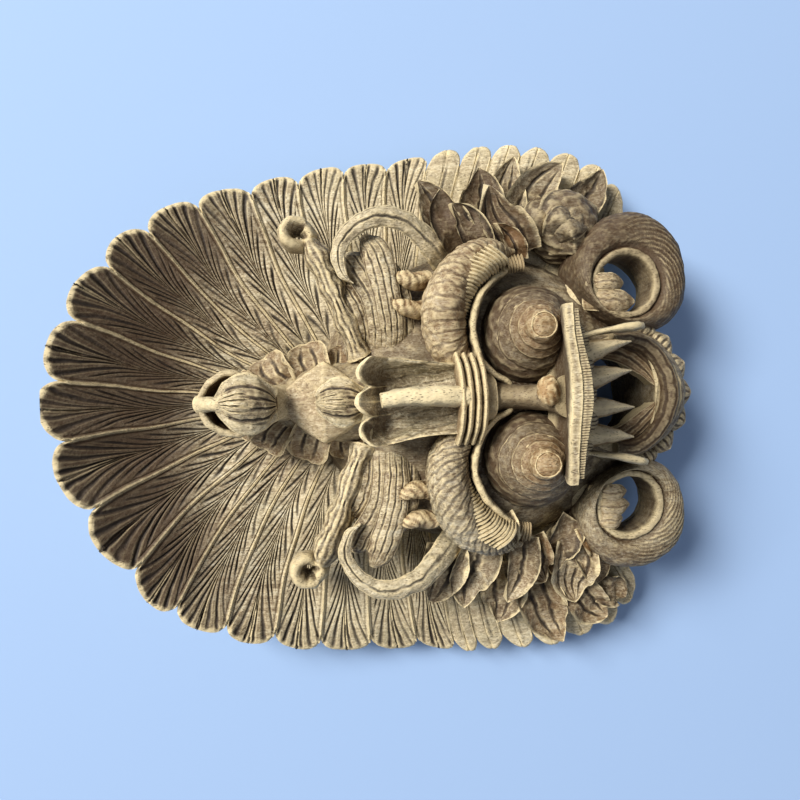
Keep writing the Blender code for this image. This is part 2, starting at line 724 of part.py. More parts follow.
def ornament_solids(carving):
    """Relief and free-standing carving, added after the cuts."""
    carving.add("nose_bead", nose_bead())
    for k in range(3):
        carving.add(f"frown_{k}", frown_fold(-37.0 - 5.5 * k, 96.0 - 1.5 * k))
    for k, (x, length, width) in enumerate(((9.5, 25, 5.0), (25.5, 24, 6.0))):
        for side in (-1, 1):
            carving.add(f"fang_{k}_{side}", fang(side * x, length, width))
    for k in range(7):
        carving.add(f"scallop_{k}", beard_scallop(lerp(205, 335, k / 6)))
    for make, name in ((tusk, "tusk"), (cheek_ring, "ring"), (ear_rosette, "rosette"), (horn, "horn")):
        both_sides(carving, name, make)
    for make, name in ((horn_foot, "horn_foot"), (curl_stem, "stem"), (curl_knob, "curl"), (hood_foot, "hood_foot")):
        both_sides(carving, name, make)
    for side in (-1, 1):
        for k, (x, y) in enumerate(((57, -2), (73, -4))):
            carving.add(f"spur_{k}_{side}", brow_spur(side, x, y))
        for k, (x, y, reach) in enumerate(((66, -133, 14), (76, -134, 18), (86, -134, 14))):
            carving.add(f"petal_{k}_{side}", ring_petal(side, x, y, reach))
        for k, sizes in enumerate(CHEEK_LEAVES):
            carving.add(f"leaf_{k}_{side}", cheek_leaf(side, *sizes))
        for k, (x, y, width, z) in enumerate(((98, 21, 8, 78), (91, 7, 8, 82), (76, -7, 7, 80))):
            carving.add(f"tuft_{k}_{side}", tuft(side, x, y, width, z))
        for k, (x, y, width) in enumerate(COLLAR_TIPS):
            carving.add(f"collar_{k}_{side}", collar_leaf(side, x, y, width))
    carving.add("panel", panel())
    carving.add("keel", keel())
    carving.add("diamond", diamond())
    carving.add("lower_bud", bud((0, 35, 90), (0, 1, 0.15), 30, 13))
    carving.add("upper_bud", bud((0, 92, 95), (0, 1, 0.35), 38, 17))
    carving.add("bud_stalk", bud_stalk())
    carving.add("bud_hood", bud_hood())
    carving.add("hood_bridge", hood_bridge())


def boolean(obj, operation, carving):
    modifier = obj.modifiers.new(operation.title(), "BOOLEAN")
    modifier.operation = operation
    modifier.operand_type = "COLLECTION"
    modifier.collection = carving.collection
    modifier.solver = "MANIFOLD"


def shells(bm):
    """The mesh's connected shells, as lists of faces."""
    left = set(bm.faces)
    found = []
    while left:
        stack = [left.pop()]
        shell = list(stack)
        while stack:
            for edge in stack.pop().edges:
                for face in edge.link_faces:
                    if face in left:
                        left.remove(face)
                        stack.append(face)
                        shell.append(face)
        found.append(shell)
    return found


def volume(faces):
    total = 0.0
    for face in faces:
        a = face.verts[0].co
        for v, w in zip(face.verts[1:], face.verts[2:]):
            total += a.dot(v.co.cross(w.co)) / 6
    return total


def fill_pockets(mesh):
    """Drops the shells of sealed pockets between overlapping solids, and specks under a cubic millimetre."""
    bm = bmesh.new()
    bm.from_mesh(mesh)
    bmesh.ops.triangulate(bm, faces=bm.faces)
    for shell in shells(bm):
        if volume(shell) < 1e-9:
            bmesh.ops.delete(bm, geom=shell, context="FACES")
    bm.to_mesh(mesh)
    bm.free()


def evaluated_mesh(obj):
    """The object's mesh with its modifiers, which are then removed."""
    bpy.context.view_layer.update()
    mesh = bpy.data.meshes.new_from_object(obj.evaluated_get(bpy.context.evaluated_depsgraph_get()))
    obj.modifiers.clear()
    obj.data = mesh
    return mesh


def wood():
    material = bpy.data.materials.new("carved wood")
    material.use_nodes = True
    shader = material.node_tree.nodes["Principled BSDF"]
    shader.inputs["Base Color"].default_value = WOOD
    shader.inputs["Roughness"].default_value = 0.62
    shader.inputs["Metallic"].default_value = 0.0
    return material


def centre_on_origin(mesh):
    """Puts the middle of the mask's outline over the origin, with its back on Z = 0."""
    low = [min(v.co[k] for v in mesh.vertices) for k in range(3)]
    high = [max(v.co[k] for v in mesh.vertices) for k in range(3)]
    shift = Vector(((low[0] + high[0]) / 2, (low[1] + high[1]) / 2, low[2]))
    for vertex in mesh.vertices:
        vertex.co -= shift


def main():
    clear_scene()
    mask = bpy.data.objects.new("mask", face_block())
    bpy.context.scene.collection.objects.link(mask)
    body, cuts, ornament = Carving("body"), Carving("cuts"), Carving("ornament")
    body_solids(body)
    cuts.add("hollow", hollow())
    cuts.add("mouth", mouth_hole())
    ornament_solids(ornament)
    boolean(mask, "UNION", body)
    boolean(mask, "DIFFERENCE", cuts)
    boolean(mask, "UNION", ornament)
    fill_pockets(evaluated_mesh(mask))
    for carving in (body, cuts, ornament):
        for obj in list(carving.collection.objects):
            bpy.data.objects.remove(obj)
        bpy.data.collections.remove(carving.collection)
    thin = mask.modifiers.new("Thin the cut edges", "DECIMATE")
    thin.ratio = KEPT_TRIANGLES / len(mask.data.polygons)
    carved = evaluated_mesh(mask)
    fill_pockets(carved)
    centre_on_origin(carved)
    carved.materials.clear()
    carved.materials.append(wood())
    carved.shade_smooth()
    carved.set_sharp_from_angle(angle=math.radians(32))


main()
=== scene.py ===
# %% [markdown]
# A barong mask: a guardian's face with a fan of feathers, carved by hand from one block of
# tropical wood and left unpainted. It lies on its hollow back, so the camera looks straight
# down on it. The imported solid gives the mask's place and size. This script adds the carved
# surface: barbs cut with a knife, hair, fluted leaves, pierced rings and the colour of old wood.

import math

import bmesh
import bpy
import numpy as np
from mathutils import Matrix, Vector


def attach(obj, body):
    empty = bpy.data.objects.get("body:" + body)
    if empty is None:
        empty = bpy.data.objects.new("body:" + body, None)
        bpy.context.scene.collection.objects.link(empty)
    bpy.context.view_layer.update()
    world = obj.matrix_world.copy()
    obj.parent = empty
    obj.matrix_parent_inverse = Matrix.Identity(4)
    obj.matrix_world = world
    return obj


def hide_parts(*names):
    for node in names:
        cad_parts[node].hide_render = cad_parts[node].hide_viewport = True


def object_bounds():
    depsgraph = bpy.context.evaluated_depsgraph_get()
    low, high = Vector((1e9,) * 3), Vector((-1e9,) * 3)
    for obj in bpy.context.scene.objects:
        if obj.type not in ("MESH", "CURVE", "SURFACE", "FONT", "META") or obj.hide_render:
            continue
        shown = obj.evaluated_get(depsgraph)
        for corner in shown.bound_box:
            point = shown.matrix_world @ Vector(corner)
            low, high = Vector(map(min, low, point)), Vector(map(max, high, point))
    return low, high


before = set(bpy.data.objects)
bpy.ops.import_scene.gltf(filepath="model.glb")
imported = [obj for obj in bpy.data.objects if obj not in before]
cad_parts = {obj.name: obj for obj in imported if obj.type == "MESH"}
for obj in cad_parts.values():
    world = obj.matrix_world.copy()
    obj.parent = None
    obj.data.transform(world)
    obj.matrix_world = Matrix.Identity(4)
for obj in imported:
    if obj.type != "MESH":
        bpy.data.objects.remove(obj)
cad_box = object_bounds()

# %% [markdown]
# The carving is laid out in millimetres from a point between the brows: X to the viewer's
# right, Y up to the crown and Z out of the face. One function moves such points into the
# solid's frame, so every chisel cut below can be written in plain millimetres.

# %% Millimetres of carving
MIDDLE = np.array((0.55, -13.0, 0.0))
HAND = 0.45


def metres(points):
    """Carving millimetres to the solid's frame in metres."""
    return (np.asarray(points, float) + MIDDLE) / 1000.0


def by_hand(points):
    """Points moved by a fraction of a millimetre in slow waves, as nothing here is ruled."""
    x, y, z = points.T
    waves = (
        np.sin(y / 9 + z / 13 + 1.3) + np.sin(x / 17 - y / 21),
        np.sin(x / 8 + z / 15 + 0.4) + np.sin(y / 19 + x / 23),
        np.sin(x / 11 + 2.1) + np.sin(y / 10 - z / 16),
    )
    return points + HAND * np.stack(waves, axis=-1)


# %% [markdown]
# The photograph was taken with a phone held flat over the mask, crown to the left. A short
# lens close to the carving gives its strong perspective: the walls of the rings and of the
# mouth lean outwards from the middle of the picture.

# %% The camera
CAMERA_HEIGHT = 0.450
LENS, SENSOR = 27.2, 36.0
ROLL = math.radians(1.685)

camera = bpy.data.cameras.new("phone")
camera.sensor_width = SENSOR
camera.lens = LENS
camera.clip_start = 0.01
phone = bpy.data.objects.new("phone", camera)
bpy.context.scene.collection.objects.link(phone)
right = Vector((-math.sin(ROLL), -math.cos(ROLL), 0.0))
above = Vector((math.cos(ROLL), -math.sin(ROLL), 0.0))
turned = Matrix((right, above, Vector((0, 0, 1)))).transposed().to_4x4()
turned.translation = Vector(metres((0, 0, 0))) + Vector((0, 0, CAMERA_HEIGHT))
phone.matrix_world = turned
bpy.context.scene.camera = phone

# %% [markdown]
# Carved shapes are smooth runs between a few set points, so a few small functions carry most
# of the work: an eased value, a bump, a value keyed along a length and a curve through points.

# %% Curves through set points


def eased(t):
    """0 to 1 with a soft start and a soft end."""
    t = np.clip(t, 0.0, 1.0)
    return t * t * (3 - 2 * t)


def bump(v, at, width):
    """1 where v is at the given value, falling away smoothly on both sides."""
    return np.exp(-(((v - at) / width) ** 2))


def keyed(keys, t):
    """Values at t of a smooth curve through (place, value) keys, or through evenly placed values."""
    keys = np.array(keys, float)
    x, y = keys.T if keys.ndim > 1 else (np.linspace(0, 1, len(keys)), keys)
    slope = np.gradient(y, x)
    t = np.clip(np.asarray(t, float), x[0], x[-1])
    k = np.clip(np.searchsorted(x, t, side="right") - 1, 0, len(x) - 2)
    span = x[k + 1] - x[k]
    u = (t - x[k]) / span
    start = (1 + 2 * u) * (1 - u) ** 2 * y[k] + u * (1 - u) ** 2 * span * slope[k]
    end = u**2 * (3 - 2 * u) * y[k + 1] - u**2 * (1 - u) * span * slope[k + 1]
    return start + end


def spline(points, t):
    """Points at shares t of a Catmull-Rom curve through the given ones."""
    p = np.array(points, float)
    p = np.vstack([2 * p[0] - p[1], p, 2 * p[-1] - p[-2]])
    place = np.clip(np.asarray(t, float), 0, 1) * (len(p) - 3)
    k = np.minimum(place.astype(int), len(p) - 4)
    u = (place - k)[..., None]
    a, b, c, d = p[k], p[k + 1], p[k + 2], p[k + 3]
    return 0.5 * (2 * b + (c - a) * u + (2 * a - 5 * b + 4 * c - d) * u**2 + (3 * b - a - 3 * c + d) * u**3)


def unit(v):
    return v / np.maximum(np.linalg.norm(v, axis=-1, keepdims=True), 1e-9)


def squared(angle, power):
    """Cosine and sine of angles, pushed out towards a square's corners by a power below 1."""
    return [np.sign(v) * np.abs(v) ** power for v in (np.cos(angle), np.sin(angle))]


def corner_angles(sides):
    """The angles of a limb's corners, with the first half a side from the start."""
    return 2 * math.pi * (np.arange(sides) + 0.5) / sides


def frames(path):
    """Sideways and outward directions along a path, outward as near to +Z as it can be."""
    along = unit(np.gradient(path, axis=0))
    side = unit(np.cross(along, (0.0, 0.0, 1.0)))
    return side, np.cross(side, along)


# %% [markdown]
# Every part of the carving is a closed shell: a sheet with a top and a bottom, or a limb with
# capped ends. A Shells object gathers the shells of one piece. Each point also carries four
# marks: where it lies across a row of cuts, how deep the cut is there, how much darker or
# paler the wood is painted there, for soil and wear and for painted shade and highlight, and
# how ruddy its stippled skin is.

# %% Closed shells


def grid_faces(index, wrap=False):
    """Quads between the rows of an index grid."""
    if wrap:
        index = np.hstack([index, index[:, :1]])
    a, b, c, d = index[:-1, :-1], index[:-1, 1:], index[1:, 1:], index[1:, :-1]
    return np.stack([a, b, c, d], axis=-1).reshape(-1, 4).tolist()


class Shells:
    """Closed shells of one piece, with the marks of their points."""

    def __init__(self):
        self.points, self.faces, self.marks, self.count = [], [], [], 0

    def add(self, points, faces, phase=0.0, depth=0.0, worn=0.0, ruddy=0.0):
        """Marks are single values or one for each point. The third runs from -1, darkest, for soil and
        painted shade, to 1, palest, for rubbed raw wood and painted highlight.
        """
        marks = [np.broadcast_to(np.asarray(v, float), (len(points),)) for v in (phase, depth, worn, ruddy)]
        self.points.append(points)
        self.marks.append(np.stack(marks, axis=-1))
        self.faces += [[i + self.count for i in face] for face in faces]
        self.count += len(points)

    def slab(self, top, bottom, **marks):
        """A sheet between a grid of top points and a grid of bottom points with as many rows."""
        rows, columns = top.shape[:2]
        under = bottom.shape[1]
        upper = np.arange(rows * columns).reshape(rows, columns)
        lower = rows * columns + np.arange(rows * under).reshape(rows, under)
        faces = grid_faces(upper) + grid_faces(lower[:, ::-1])
        for a, b in ((upper[:, 0], lower[:, 0]), (lower[:, -1], upper[:, -1])):
            faces += grid_faces(np.stack([a, b], axis=1))
        faces.append(upper[0, ::-1].tolist() + lower[0].tolist())
        faces.append(upper[-1].tolist() + lower[-1, ::-1].tolist())
        marks = {
            key: np.concatenate([np.broadcast_to(value, (rows, columns)).ravel(), np.zeros(rows * under)])
            for key, value in marks.items()
        }
        self.add(np.vstack([top.reshape(-1, 3), bottom.reshape(-1, 3)]), faces, **marks)

    def loft(self, rings, closed=False, **marks):
        """A solid through rings of points, capped at both ends or joined end to end."""
        count, sides = rings.shape[:2]
        index = np.arange(count * sides).reshape(count, sides)
        if closed:
            index = np.vstack([index, index[:1]])
        faces = grid_faces(index, wrap=True)
        if not closed:
            faces += [index[0, ::-1].tolist(), index[-1].tolist()]
        marks = {key: np.broadcast_to(value, (count, sides)).ravel() for key, value in marks.items()}
        self.add(rings.reshape(-1, 3), faces, **marks)


# %% [markdown]
# Three tools make most shapes. A leaf is a blade along a path, cupped or fluted and pointed at
# its end. A limb is a round or squared stem that swells and tapers. A turned piece spins a
# profile round an axis. The same three are used at every size, as a carver's gouges are.

# %% Leaf, limb and turned piece
ROUNDED = ((0, 0.7), (0.5, 1.0), (0.8, 0.92), (0.95, 0.55), (1, 0.22))


def leaf(shells, spine, half_width, shape, thick, cup, cut, size, undercut, rim=0.0, flutes=0, **marks):
    """cup lifts both edges, rim is a raised bead inside them and flutes are cut along the leaf."""
    rows, columns = size
    t = np.linspace(0, 1, rows)
    s = np.linspace(-1, 1, columns)
    path = spline(spine, t)
    side, out = frames(path)
    width = (half_width * keyed(shape, t))[:, None]
    rise = cup * width * np.abs(s) ** 2.2 + rim * eased((1 - t) * 6)[:, None] * bump(np.abs(s), 0.9, 0.09)
    top = path[:, None] + side[:, None] * (width * s)[..., None] + out[:, None] * rise[..., None]
    edge = side[:, None] * (width * undercut * np.array((-1, 1)))[..., None]
    bottom = path[:, None] + edge - out[:, None] * thick
    run = eased(t * 5)[:, None] * eased((1 - t) * 4)[:, None] * eased((1 - np.abs(s)) * 8)
    lightness = 0.55 * eased((np.abs(s) - 0.8) * 6)
    given = {"phase": (s + 1) / 2 * flutes + 0.5, "depth": cut * run if flutes else 0.0, "worn": lightness}
    shells.slab(top, bottom, **{**given, **marks})


def limb(shells, spine, wide, tall, steps=48, sides=20, square=1.0, ridges=0, strands=0, cut=0.8, **marks):
    """wide and tall are half sizes along it. ridges run across it and strands along it."""
    t = np.linspace(0, 1, steps)
    path = spline(spine, t)
    side, out = frames(path)
    angle = corner_angles(sides)
    c, s = squared(angle, square)
    rings = path[:, None] + side[:, None] * (keyed(wide, t)[:, None] * c)[..., None]
    rings = rings + out[:, None] * (keyed(tall, t)[:, None] * s)[..., None]
    phase = t[:, None] * ridges + angle / (2 * math.pi) * strands
    run = eased(t * 10)[:, None] * eased((1 - t) * 10)[:, None] * eased(np.sin(angle) * 2 + 0.9)
    given = {"phase": phase, "depth": cut * run if ridges or strands else 0.0}
    shells.loft(rings, **{**given, **marks})


def turned_piece(shells, profile, centre, axis=(0, 0, 1), sides=64, squash=(1.0, 1.0), wobble=0.0, petals=0,
                 cut=0.0, **marks):
    """profile is (radius, height) pairs. wobble is a hand's unevenness, petals are cuts round it."""
    profile = np.array(profile, float)
    axis = unit(np.array(axis, float))
    across = unit(np.cross(axis, (0.0, 1.0, 0.0) if abs(axis[1]) < 0.7 else (1.0, 0.0, 0.0)))
    up = np.cross(axis, across)
    angle = 2 * math.pi * np.arange(sides) / sides
    high = profile[:, 1:]
    swell = np.sin(3 * angle + high * 0.45) + 0.7 * np.sin(7 * angle - high * 0.9) + 0.4 * np.sin(13 * angle)
    radius = profile[:, :1] * (1 + wobble * swell)
    rings = np.asarray(centre, float) + axis * high[..., None]
    rings = rings + across * (radius * np.cos(angle) * squash[0])[..., None]
    rings = rings + up * (radius * np.sin(angle) * squash[1])[..., None]
    shells.loft(rings, phase=angle / (2 * math.pi) * petals, depth=cut, **marks)


def smoothed(profile, count):
    """The profile at count even steps along a curve through its points."""
    return spline(profile, np.linspace(0, 1, count))


def mirrored(points, side):
    """The points as they are for side 1, or on the mask's other side for -1."""
    return [(side * x, y, z) for x, y, z in points]


def arc(centre, radii, degrees, heights):
    """Points at the given degrees round a centre. radii are (across, along)."""
    turns = [math.radians(d) for d in degrees]
    (x, y), (across, along) = centre, radii
    return [(x + across * math.cos(a), y + along * math.sin(a), z) for a, z in zip(turns, heights)]


# %% [markdown]
# The wood is a pale tropical hardwood, sawn, carved and never varnished: Balinese masks are
# often of this kind. Its fibres run from the crown to the chin. Cut along, they show as fine
# dashes, and cut across, on the boss of an eye or the point of a fang, as dark pores. The
# hollows are painted with shade, brown in crevices and grey green where deep, and sharp ridges
# carry a painted highlight of pale straw.

# %% Colour and node helpers


def linear(hex_colour):
    """An sRGB hex colour as linear RGBA."""
    channels = [int(hex_colour[i : i + 2], 16) / 255 for i in (1, 3, 5)]
    return [c / 12.92 if c <= 0.04045 else ((c + 0.055) / 1.055) ** 2.4 for c in channels] + [1.0]


def add_node(tree, kind, links=(), **settings):
    """One node with its settings. links are (input name or number, socket or value)."""
    node = tree.nodes.new(kind)
    for name, value in settings.items():
        setattr(node, name, value)
    for key, value in links:
        if isinstance(value, bpy.types.NodeSocket):
            tree.links.new(value, node.inputs[key])
        else:
            node.inputs[key].default_value = value
    return node


def remapped(tree, value, low, high, to_low=0.0, to_high=1.0):
    """A value spread from low..high to to_low..to_high."""
    links = (("Value", value), ("From Min", low), ("From Max", high), ("To Min", to_low), ("To Max", to_high))
    return add_node(tree, "ShaderNodeMapRange", links).outputs[0]


def maths(tree, operation, a, b=0.0):
    return add_node(tree, "ShaderNodeMath", ((0, a), (1, b)), operation=operation).outputs[0]


def times(tree, a, b):
    return maths(tree, "MULTIPLY", a, b)


def painted(tree, base, share, colour):
    """The base colour with a share of another colour over it."""
    links = ((0, share), (6, base), (7, linear(colour)))
    return add_node(tree, "ShaderNodeMix", links, data_type="RGBA").outputs[2]


def noise_at(tree, place, per_metre, detail=3.0, roughness=0.5):
    """Noise with its own count of features per metre along X, Y and Z."""
    scaled = add_node(tree, "ShaderNodeMapping", (("Vector", place), ("Scale", per_metre))).outputs[0]
    links = (("Vector", scaled), ("Scale", 1.0), ("Detail", detail), ("Roughness", roughness))
    return add_node(tree, "ShaderNodeTexNoise", links).outputs["Fac"]


# %% [markdown]
# The wood's colour is built up in layers: grain first, then painted shade in the hollows,
# stipple, soil with painted shade and raw faces with painted highlight as each part marks them,
# painted highlight on sharp edges, painted shade in the cuts, and pores. Each triple counts
# features per metre along X, Y and Z, and the reach of the painted shade is in metres.

# %% Carved tropical hardwood
FIBRE = (1500, 110, 1500)
STREAK = (300, 22, 300)
DRIFT = (26, 12, 26)
PATCH = (45, 45, 45)
SPECK = (620, 430, 620)
PORE = (1100, 330, 1100)
PORE_GATE = (90, 60, 90)
CHIP = (420, 240, 420)
GRAIN_SHARE = 0.42
STOPS = ((0.45, "#54432F"), (0.55, "#8A785D"), (0.63, "#AF9F81"), (0.71, "#CDC1A4"), (0.82, "#E4DCC6"))
CREVICE, DEEP_HOLLOW = 0.005, 0.030


def carved_wood():
    """Unpainted hardwood cut with gouge and knife. Matt, because nothing fills its pores."""
    material = bpy.data.materials.new("unpainted carved hardwood")
    material.use_nodes = True
    tree = material.node_tree
    shader = tree.nodes["Principled BSDF"]
    shader.inputs["IOR"].default_value = 1.5
    place = add_node(tree, "ShaderNodeTexCoord").outputs["Object"]

    def mark(name):
        return add_node(tree, "ShaderNodeAttribute", attribute_name=name).outputs["Fac"]

    # Tone drifts through the block, runs in streaks with the fibres and breaks up into fibres
    drift = noise_at(tree, place, DRIFT, 4.0)
    streak = noise_at(tree, place, STREAK, 3.0)
    fibre = noise_at(tree, place, FIBRE, 2.0)
    grain = maths(tree, "ADD", times(tree, streak, GRAIN_SHARE), times(tree, fibre, GRAIN_SHARE))
    grain = maths(tree, "ADD", grain, times(tree, drift, GRAIN_SHARE))
    tone = add_node(tree, "ShaderNodeValToRGB", (("Fac", grain),))
    while len(tone.color_ramp.elements) < len(STOPS):
        tone.color_ramp.elements.new(0.5)
    for element, (at, shade) in zip(tone.color_ramp.elements, STOPS):
        element.position, element.color = at, linear(shade)
    colour = tone.outputs["Color"]

    # Painted shade in the hollows, found by ambient occlusion: brown in crevices and grey green where deep
    near, far = (
        add_node(tree, "ShaderNodeAmbientOcclusion", (("Distance", reach),), samples=6).outputs["AO"]
        for reach in (CREVICE, DEEP_HOLLOW)
    )
    patch = noise_at(tree, place, PATCH, 3.0)
    crevice_shade = remapped(tree, near, 0.32, 0.98, 0.98, 0.0)
    crevice_shade = times(tree, crevice_shade, remapped(tree, patch, 0.3, 0.6, 0.5, 1.0))
    hollow_shade = remapped(tree, far, 0.25, 0.70, 0.80, 0.0)
    hollow_shade = times(tree, hollow_shade, remapped(tree, patch, 0.38, 0.58, 0.35, 1.0))
    colour = painted(tree, colour, remapped(tree, patch, 0.50, 0.66, 0.0, 0.34), "#7A7352")
    colour = painted(tree, colour, hollow_shade, "#524F39")
    colour = painted(tree, colour, crevice_shade, "#442E17")

    # Stipple left by the gouge's corner and by sanding: pale scuffs and brown specks
    speck = noise_at(tree, place, SPECK, 4.0, 0.65)
    colour = painted(tree, colour, remapped(tree, speck, 0.47, 0.36, 0.0, 0.55), "#5A442C")
    colour = painted(tree, colour, remapped(tree, speck, 0.54, 0.66, 0.0, 0.50), "#E8DCC0")

    # Marks of each part: soil darkened further with painted shade, raw pale faces with painted highlight, and
    # ruddy stippled skin
    worn, ruddy = mark("worn"), mark("ruddy")
    colour = painted(tree, colour, remapped(tree, worn, 0.0, -1.0, 0.0, 0.92), "#3F2A15")
    colour = painted(tree, colour, remapped(tree, ruddy, 0.0, 1.0, 0.0, 0.62), "#B08047")
    raw_and_highlight = times(tree, remapped(tree, worn, 0.0, 1.0), remapped(tree, streak, 0.25, 0.6, 0.95, 0.6))
    colour = painted(tree, colour, raw_and_highlight, "#E6DAB8")
    # Painted highlight: sharp crests and edges are paler, half as much on the darkest parts
    sharpness = add_node(tree, "ShaderNodeNewGeometry").outputs["Pointiness"]
    edge = remapped(tree, sharpness, 0.503, 0.54, 0.0, 0.75)
    edge = times(tree, edge, remapped(tree, worn, -1.0, -0.5, 0.5, 1.0))
    colour = painted(tree, colour, edge, "#E2D0A5")

    # Pores: short dark dashes along the fibres, and dots where the fibres are cut across
    cells = add_node(tree, "ShaderNodeMapping", (("Vector", place), ("Scale", PORE))).outputs[0]
    pores = add_node(tree, "ShaderNodeTexVoronoi", (("Vector", cells), ("Scale", 1.0)))
    gate = remapped(tree, noise_at(tree, place, PORE_GATE, 2.0), 0.36, 0.56, 0.25, 1.0)
    gate = maths(tree, "MAXIMUM", gate, ruddy)
    pore = times(tree, remapped(tree, pores.outputs["Distance"], 0.34, 0.14), gate)
    colour = painted(tree, colour, times(tree, pore, 0.78), "#3F2C1B")
    # Painted shade in the knife cuts, darker the deeper they go
    colour = painted(tree, colour, times(tree, mark("cut"), 0.94), "#20160D")
    tree.links.new(colour, shader.inputs["Base Color"])
    tree.links.new(remapped(tree, streak, 0.3, 0.7, 0.62, 0.80), shader.inputs["Roughness"])

    # Raised fibre, small tool marks and open pores, all too shallow for the mesh
    chips = noise_at(tree, place, CHIP, 4.0, 0.6)
    before = []
    for height, strength, deep in ((chips, 0.7, 0.0012), (fibre, 0.4, 0.0003), (pore, 0.5, 0.0004)):
        links = [("Height", height), ("Strength", strength), ("Distance", deep)] + before
        relief = add_node(tree, "ShaderNodeBump", links, invert=height is pore).outputs[0]
        before = [("Normal", relief)]
    tree.links.new(relief, shader.inputs["Normal"])
    return material


wood = carved_wood()

# %% [markdown]
# Rows of cuts are everywhere on this mask: barbs on the feathers, hair on the brows, flutes on
# the leaves. A Geometry Nodes tree makes them all. It reads each point's marks, pushes the
# point in along its normal in a V, and adds the shallow facets of a gouge. It also keeps how
# deep each cut is, so that the wood can be painted darker there as shade, up to a depth of
# about 0.9 mm.

# %% The knife, as Geometry Nodes
CUT_SHADE = 1100.0


def knife_tree():
    """The tree that cuts a piece, with its sizes in metres as named inputs."""
    tree = bpy.data.node_groups.new("knife cuts", "GeometryNodeTree")
    face = tree.interface
    face.new_socket("Geometry", in_out="INPUT", socket_type="NodeSocketGeometry")
    for name, kind, value in (
        ("Cut share", "NodeSocketFloat", 0.55),
        ("Wander", "NodeSocketFloat", 0.5),
        ("Unevenness", "NodeSocketFloat", 0.0004),
        ("Gouge depth", "NodeSocketFloat", 0.0004),
        ("Gouge width", "NodeSocketFloat", 0.007),
        ("Seed", "NodeSocketFloat", 7.0),
    ):
        face.new_socket(name, in_out="INPUT", socket_type=kind).default_value = value
    face.new_socket("Wood", in_out="INPUT", socket_type="NodeSocketMaterial")
    face.new_socket("Geometry", in_out="OUTPUT", socket_type="NodeSocketGeometry")
    given = add_node(tree, "NodeGroupInput").outputs
    result = add_node(tree, "NodeGroupOutput")

    def math_node(operation, a, b=0.0):
        return maths(tree, operation, a, b)

    def mark(name):
        links = (("Name", name),)
        return add_node(tree, "GeometryNodeInputNamedAttribute", links, data_type="FLOAT").outputs[0]

    position = add_node(tree, "GeometryNodeInputPosition").outputs[0]
    rate = math_node("DIVIDE", 1.0, given["Gouge width"])
    noise_links = (("Vector", position), ("Scale", rate), ("W", given["Seed"]), ("Detail", 2.0))
    noise = add_node(tree, "ShaderNodeTexNoise", noise_links, noise_dimensions="4D").outputs["Fac"]
    uneven = math_node("SUBTRACT", noise, 0.5)
    gouge_links = (("Vector", position), ("Scale", rate), ("W", given["Seed"]))
    gouge = add_node(tree, "ShaderNodeTexVoronoi", gouge_links, voronoi_dimensions="4D").outputs["Distance"]

    wandered = math_node("ADD", mark("phase"), math_node("MULTIPLY", uneven, given["Wander"]))
    beside = math_node("ABSOLUTE", math_node("SUBTRACT", math_node("FRACT", wandered), 0.5))
    groove = remapped(tree, beside, 0.0, math_node("MULTIPLY", given["Cut share"], 0.5), 1.0, 0.0)
    deeper = remapped(tree, noise, 0.3, 0.7, 0.6, 1.3)
    sunk = math_node("MULTIPLY", math_node("MULTIPLY", groove, mark("depth")), deeper)
    bumps = math_node("MULTIPLY", uneven, math_node("MULTIPLY", given["Unevenness"], 2.0))
    facets = math_node("MULTIPLY", math_node("SUBTRACT", gouge, 0.5), given["Gouge depth"])
    moved = math_node("SUBTRACT", math_node("ADD", bumps, facets), sunk)
    normal = add_node(tree, "GeometryNodeInputNormal").outputs[0]
    offset_links = ((0, normal), ("Scale", moved))
    offset = add_node(tree, "ShaderNodeVectorMath", offset_links, operation="SCALE").outputs[0]
    # How much painted shade each point gets from the depth of its cut
    dark = math_node("MINIMUM", math_node("MULTIPLY", sunk, CUT_SHADE), 1.0)
    kept_links = (("Geometry", given["Geometry"]), ("Name", "cut"), ("Value", dark))
    kept = add_node(tree, "GeometryNodeStoreNamedAttribute", kept_links, data_type="FLOAT", domain="POINT")
    pushed = add_node(tree, "GeometryNodeSetPosition", (("Geometry", kept.outputs[0]), ("Offset", offset)))
    whole = add_node(tree, "GeometryNodeRealizeInstances", (("Geometry", pushed.outputs[0]),))
    wood_links = (("Geometry", whole.outputs[0]), ("Material", given["Wood"]))
    dressed = add_node(tree, "GeometryNodeSetMaterial", wood_links)
    tree.links.new(dressed.outputs[0], result.inputs[0])
    return tree


knife = knife_tree()


def set_input(modifier, name, value):
    """Sets a named input of a node tree through its socket's identifier."""
    for item in modifier.node_group.interface.items_tree:
        if item.item_type == "SOCKET" and item.in_out == "INPUT" and item.name == name:
            modifier[item.identifier] = value


# %% [markdown]
# A piece's shells become one mesh, with the depths of its cuts in metres. The knife cuts it, and
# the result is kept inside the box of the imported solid.

# %% Marks to mesh
LOW, HIGH = (np.array(corner) for corner in cad_box)
SHARP_EDGE = math.radians(50)
MARKS = ("phase", "depth", "worn", "ruddy")
MARK_UNITS = (1, 0.001, 1, 1)


def plain_mesh(name, shells):
    """One mesh in metres from a piece's shells, faces out, with the knife's marks on its points."""
    mesh = bpy.data.meshes.new(name)
    mesh.from_pydata(metres(by_hand(np.vstack(shells.points))).tolist(), [], shells.faces)
    bm = bmesh.new()
    bm.from_mesh(mesh)
    bmesh.ops.recalc_face_normals(bm, faces=bm.faces)
    bm.to_mesh(mesh)
    bm.free()
    marks = np.vstack(shells.marks) * MARK_UNITS
    for attribute, values in zip(MARKS, marks.T):
        mesh.attributes.new(attribute, "FLOAT", "POINT").data.foreach_set("value", values.astype(np.float32))
    return mesh


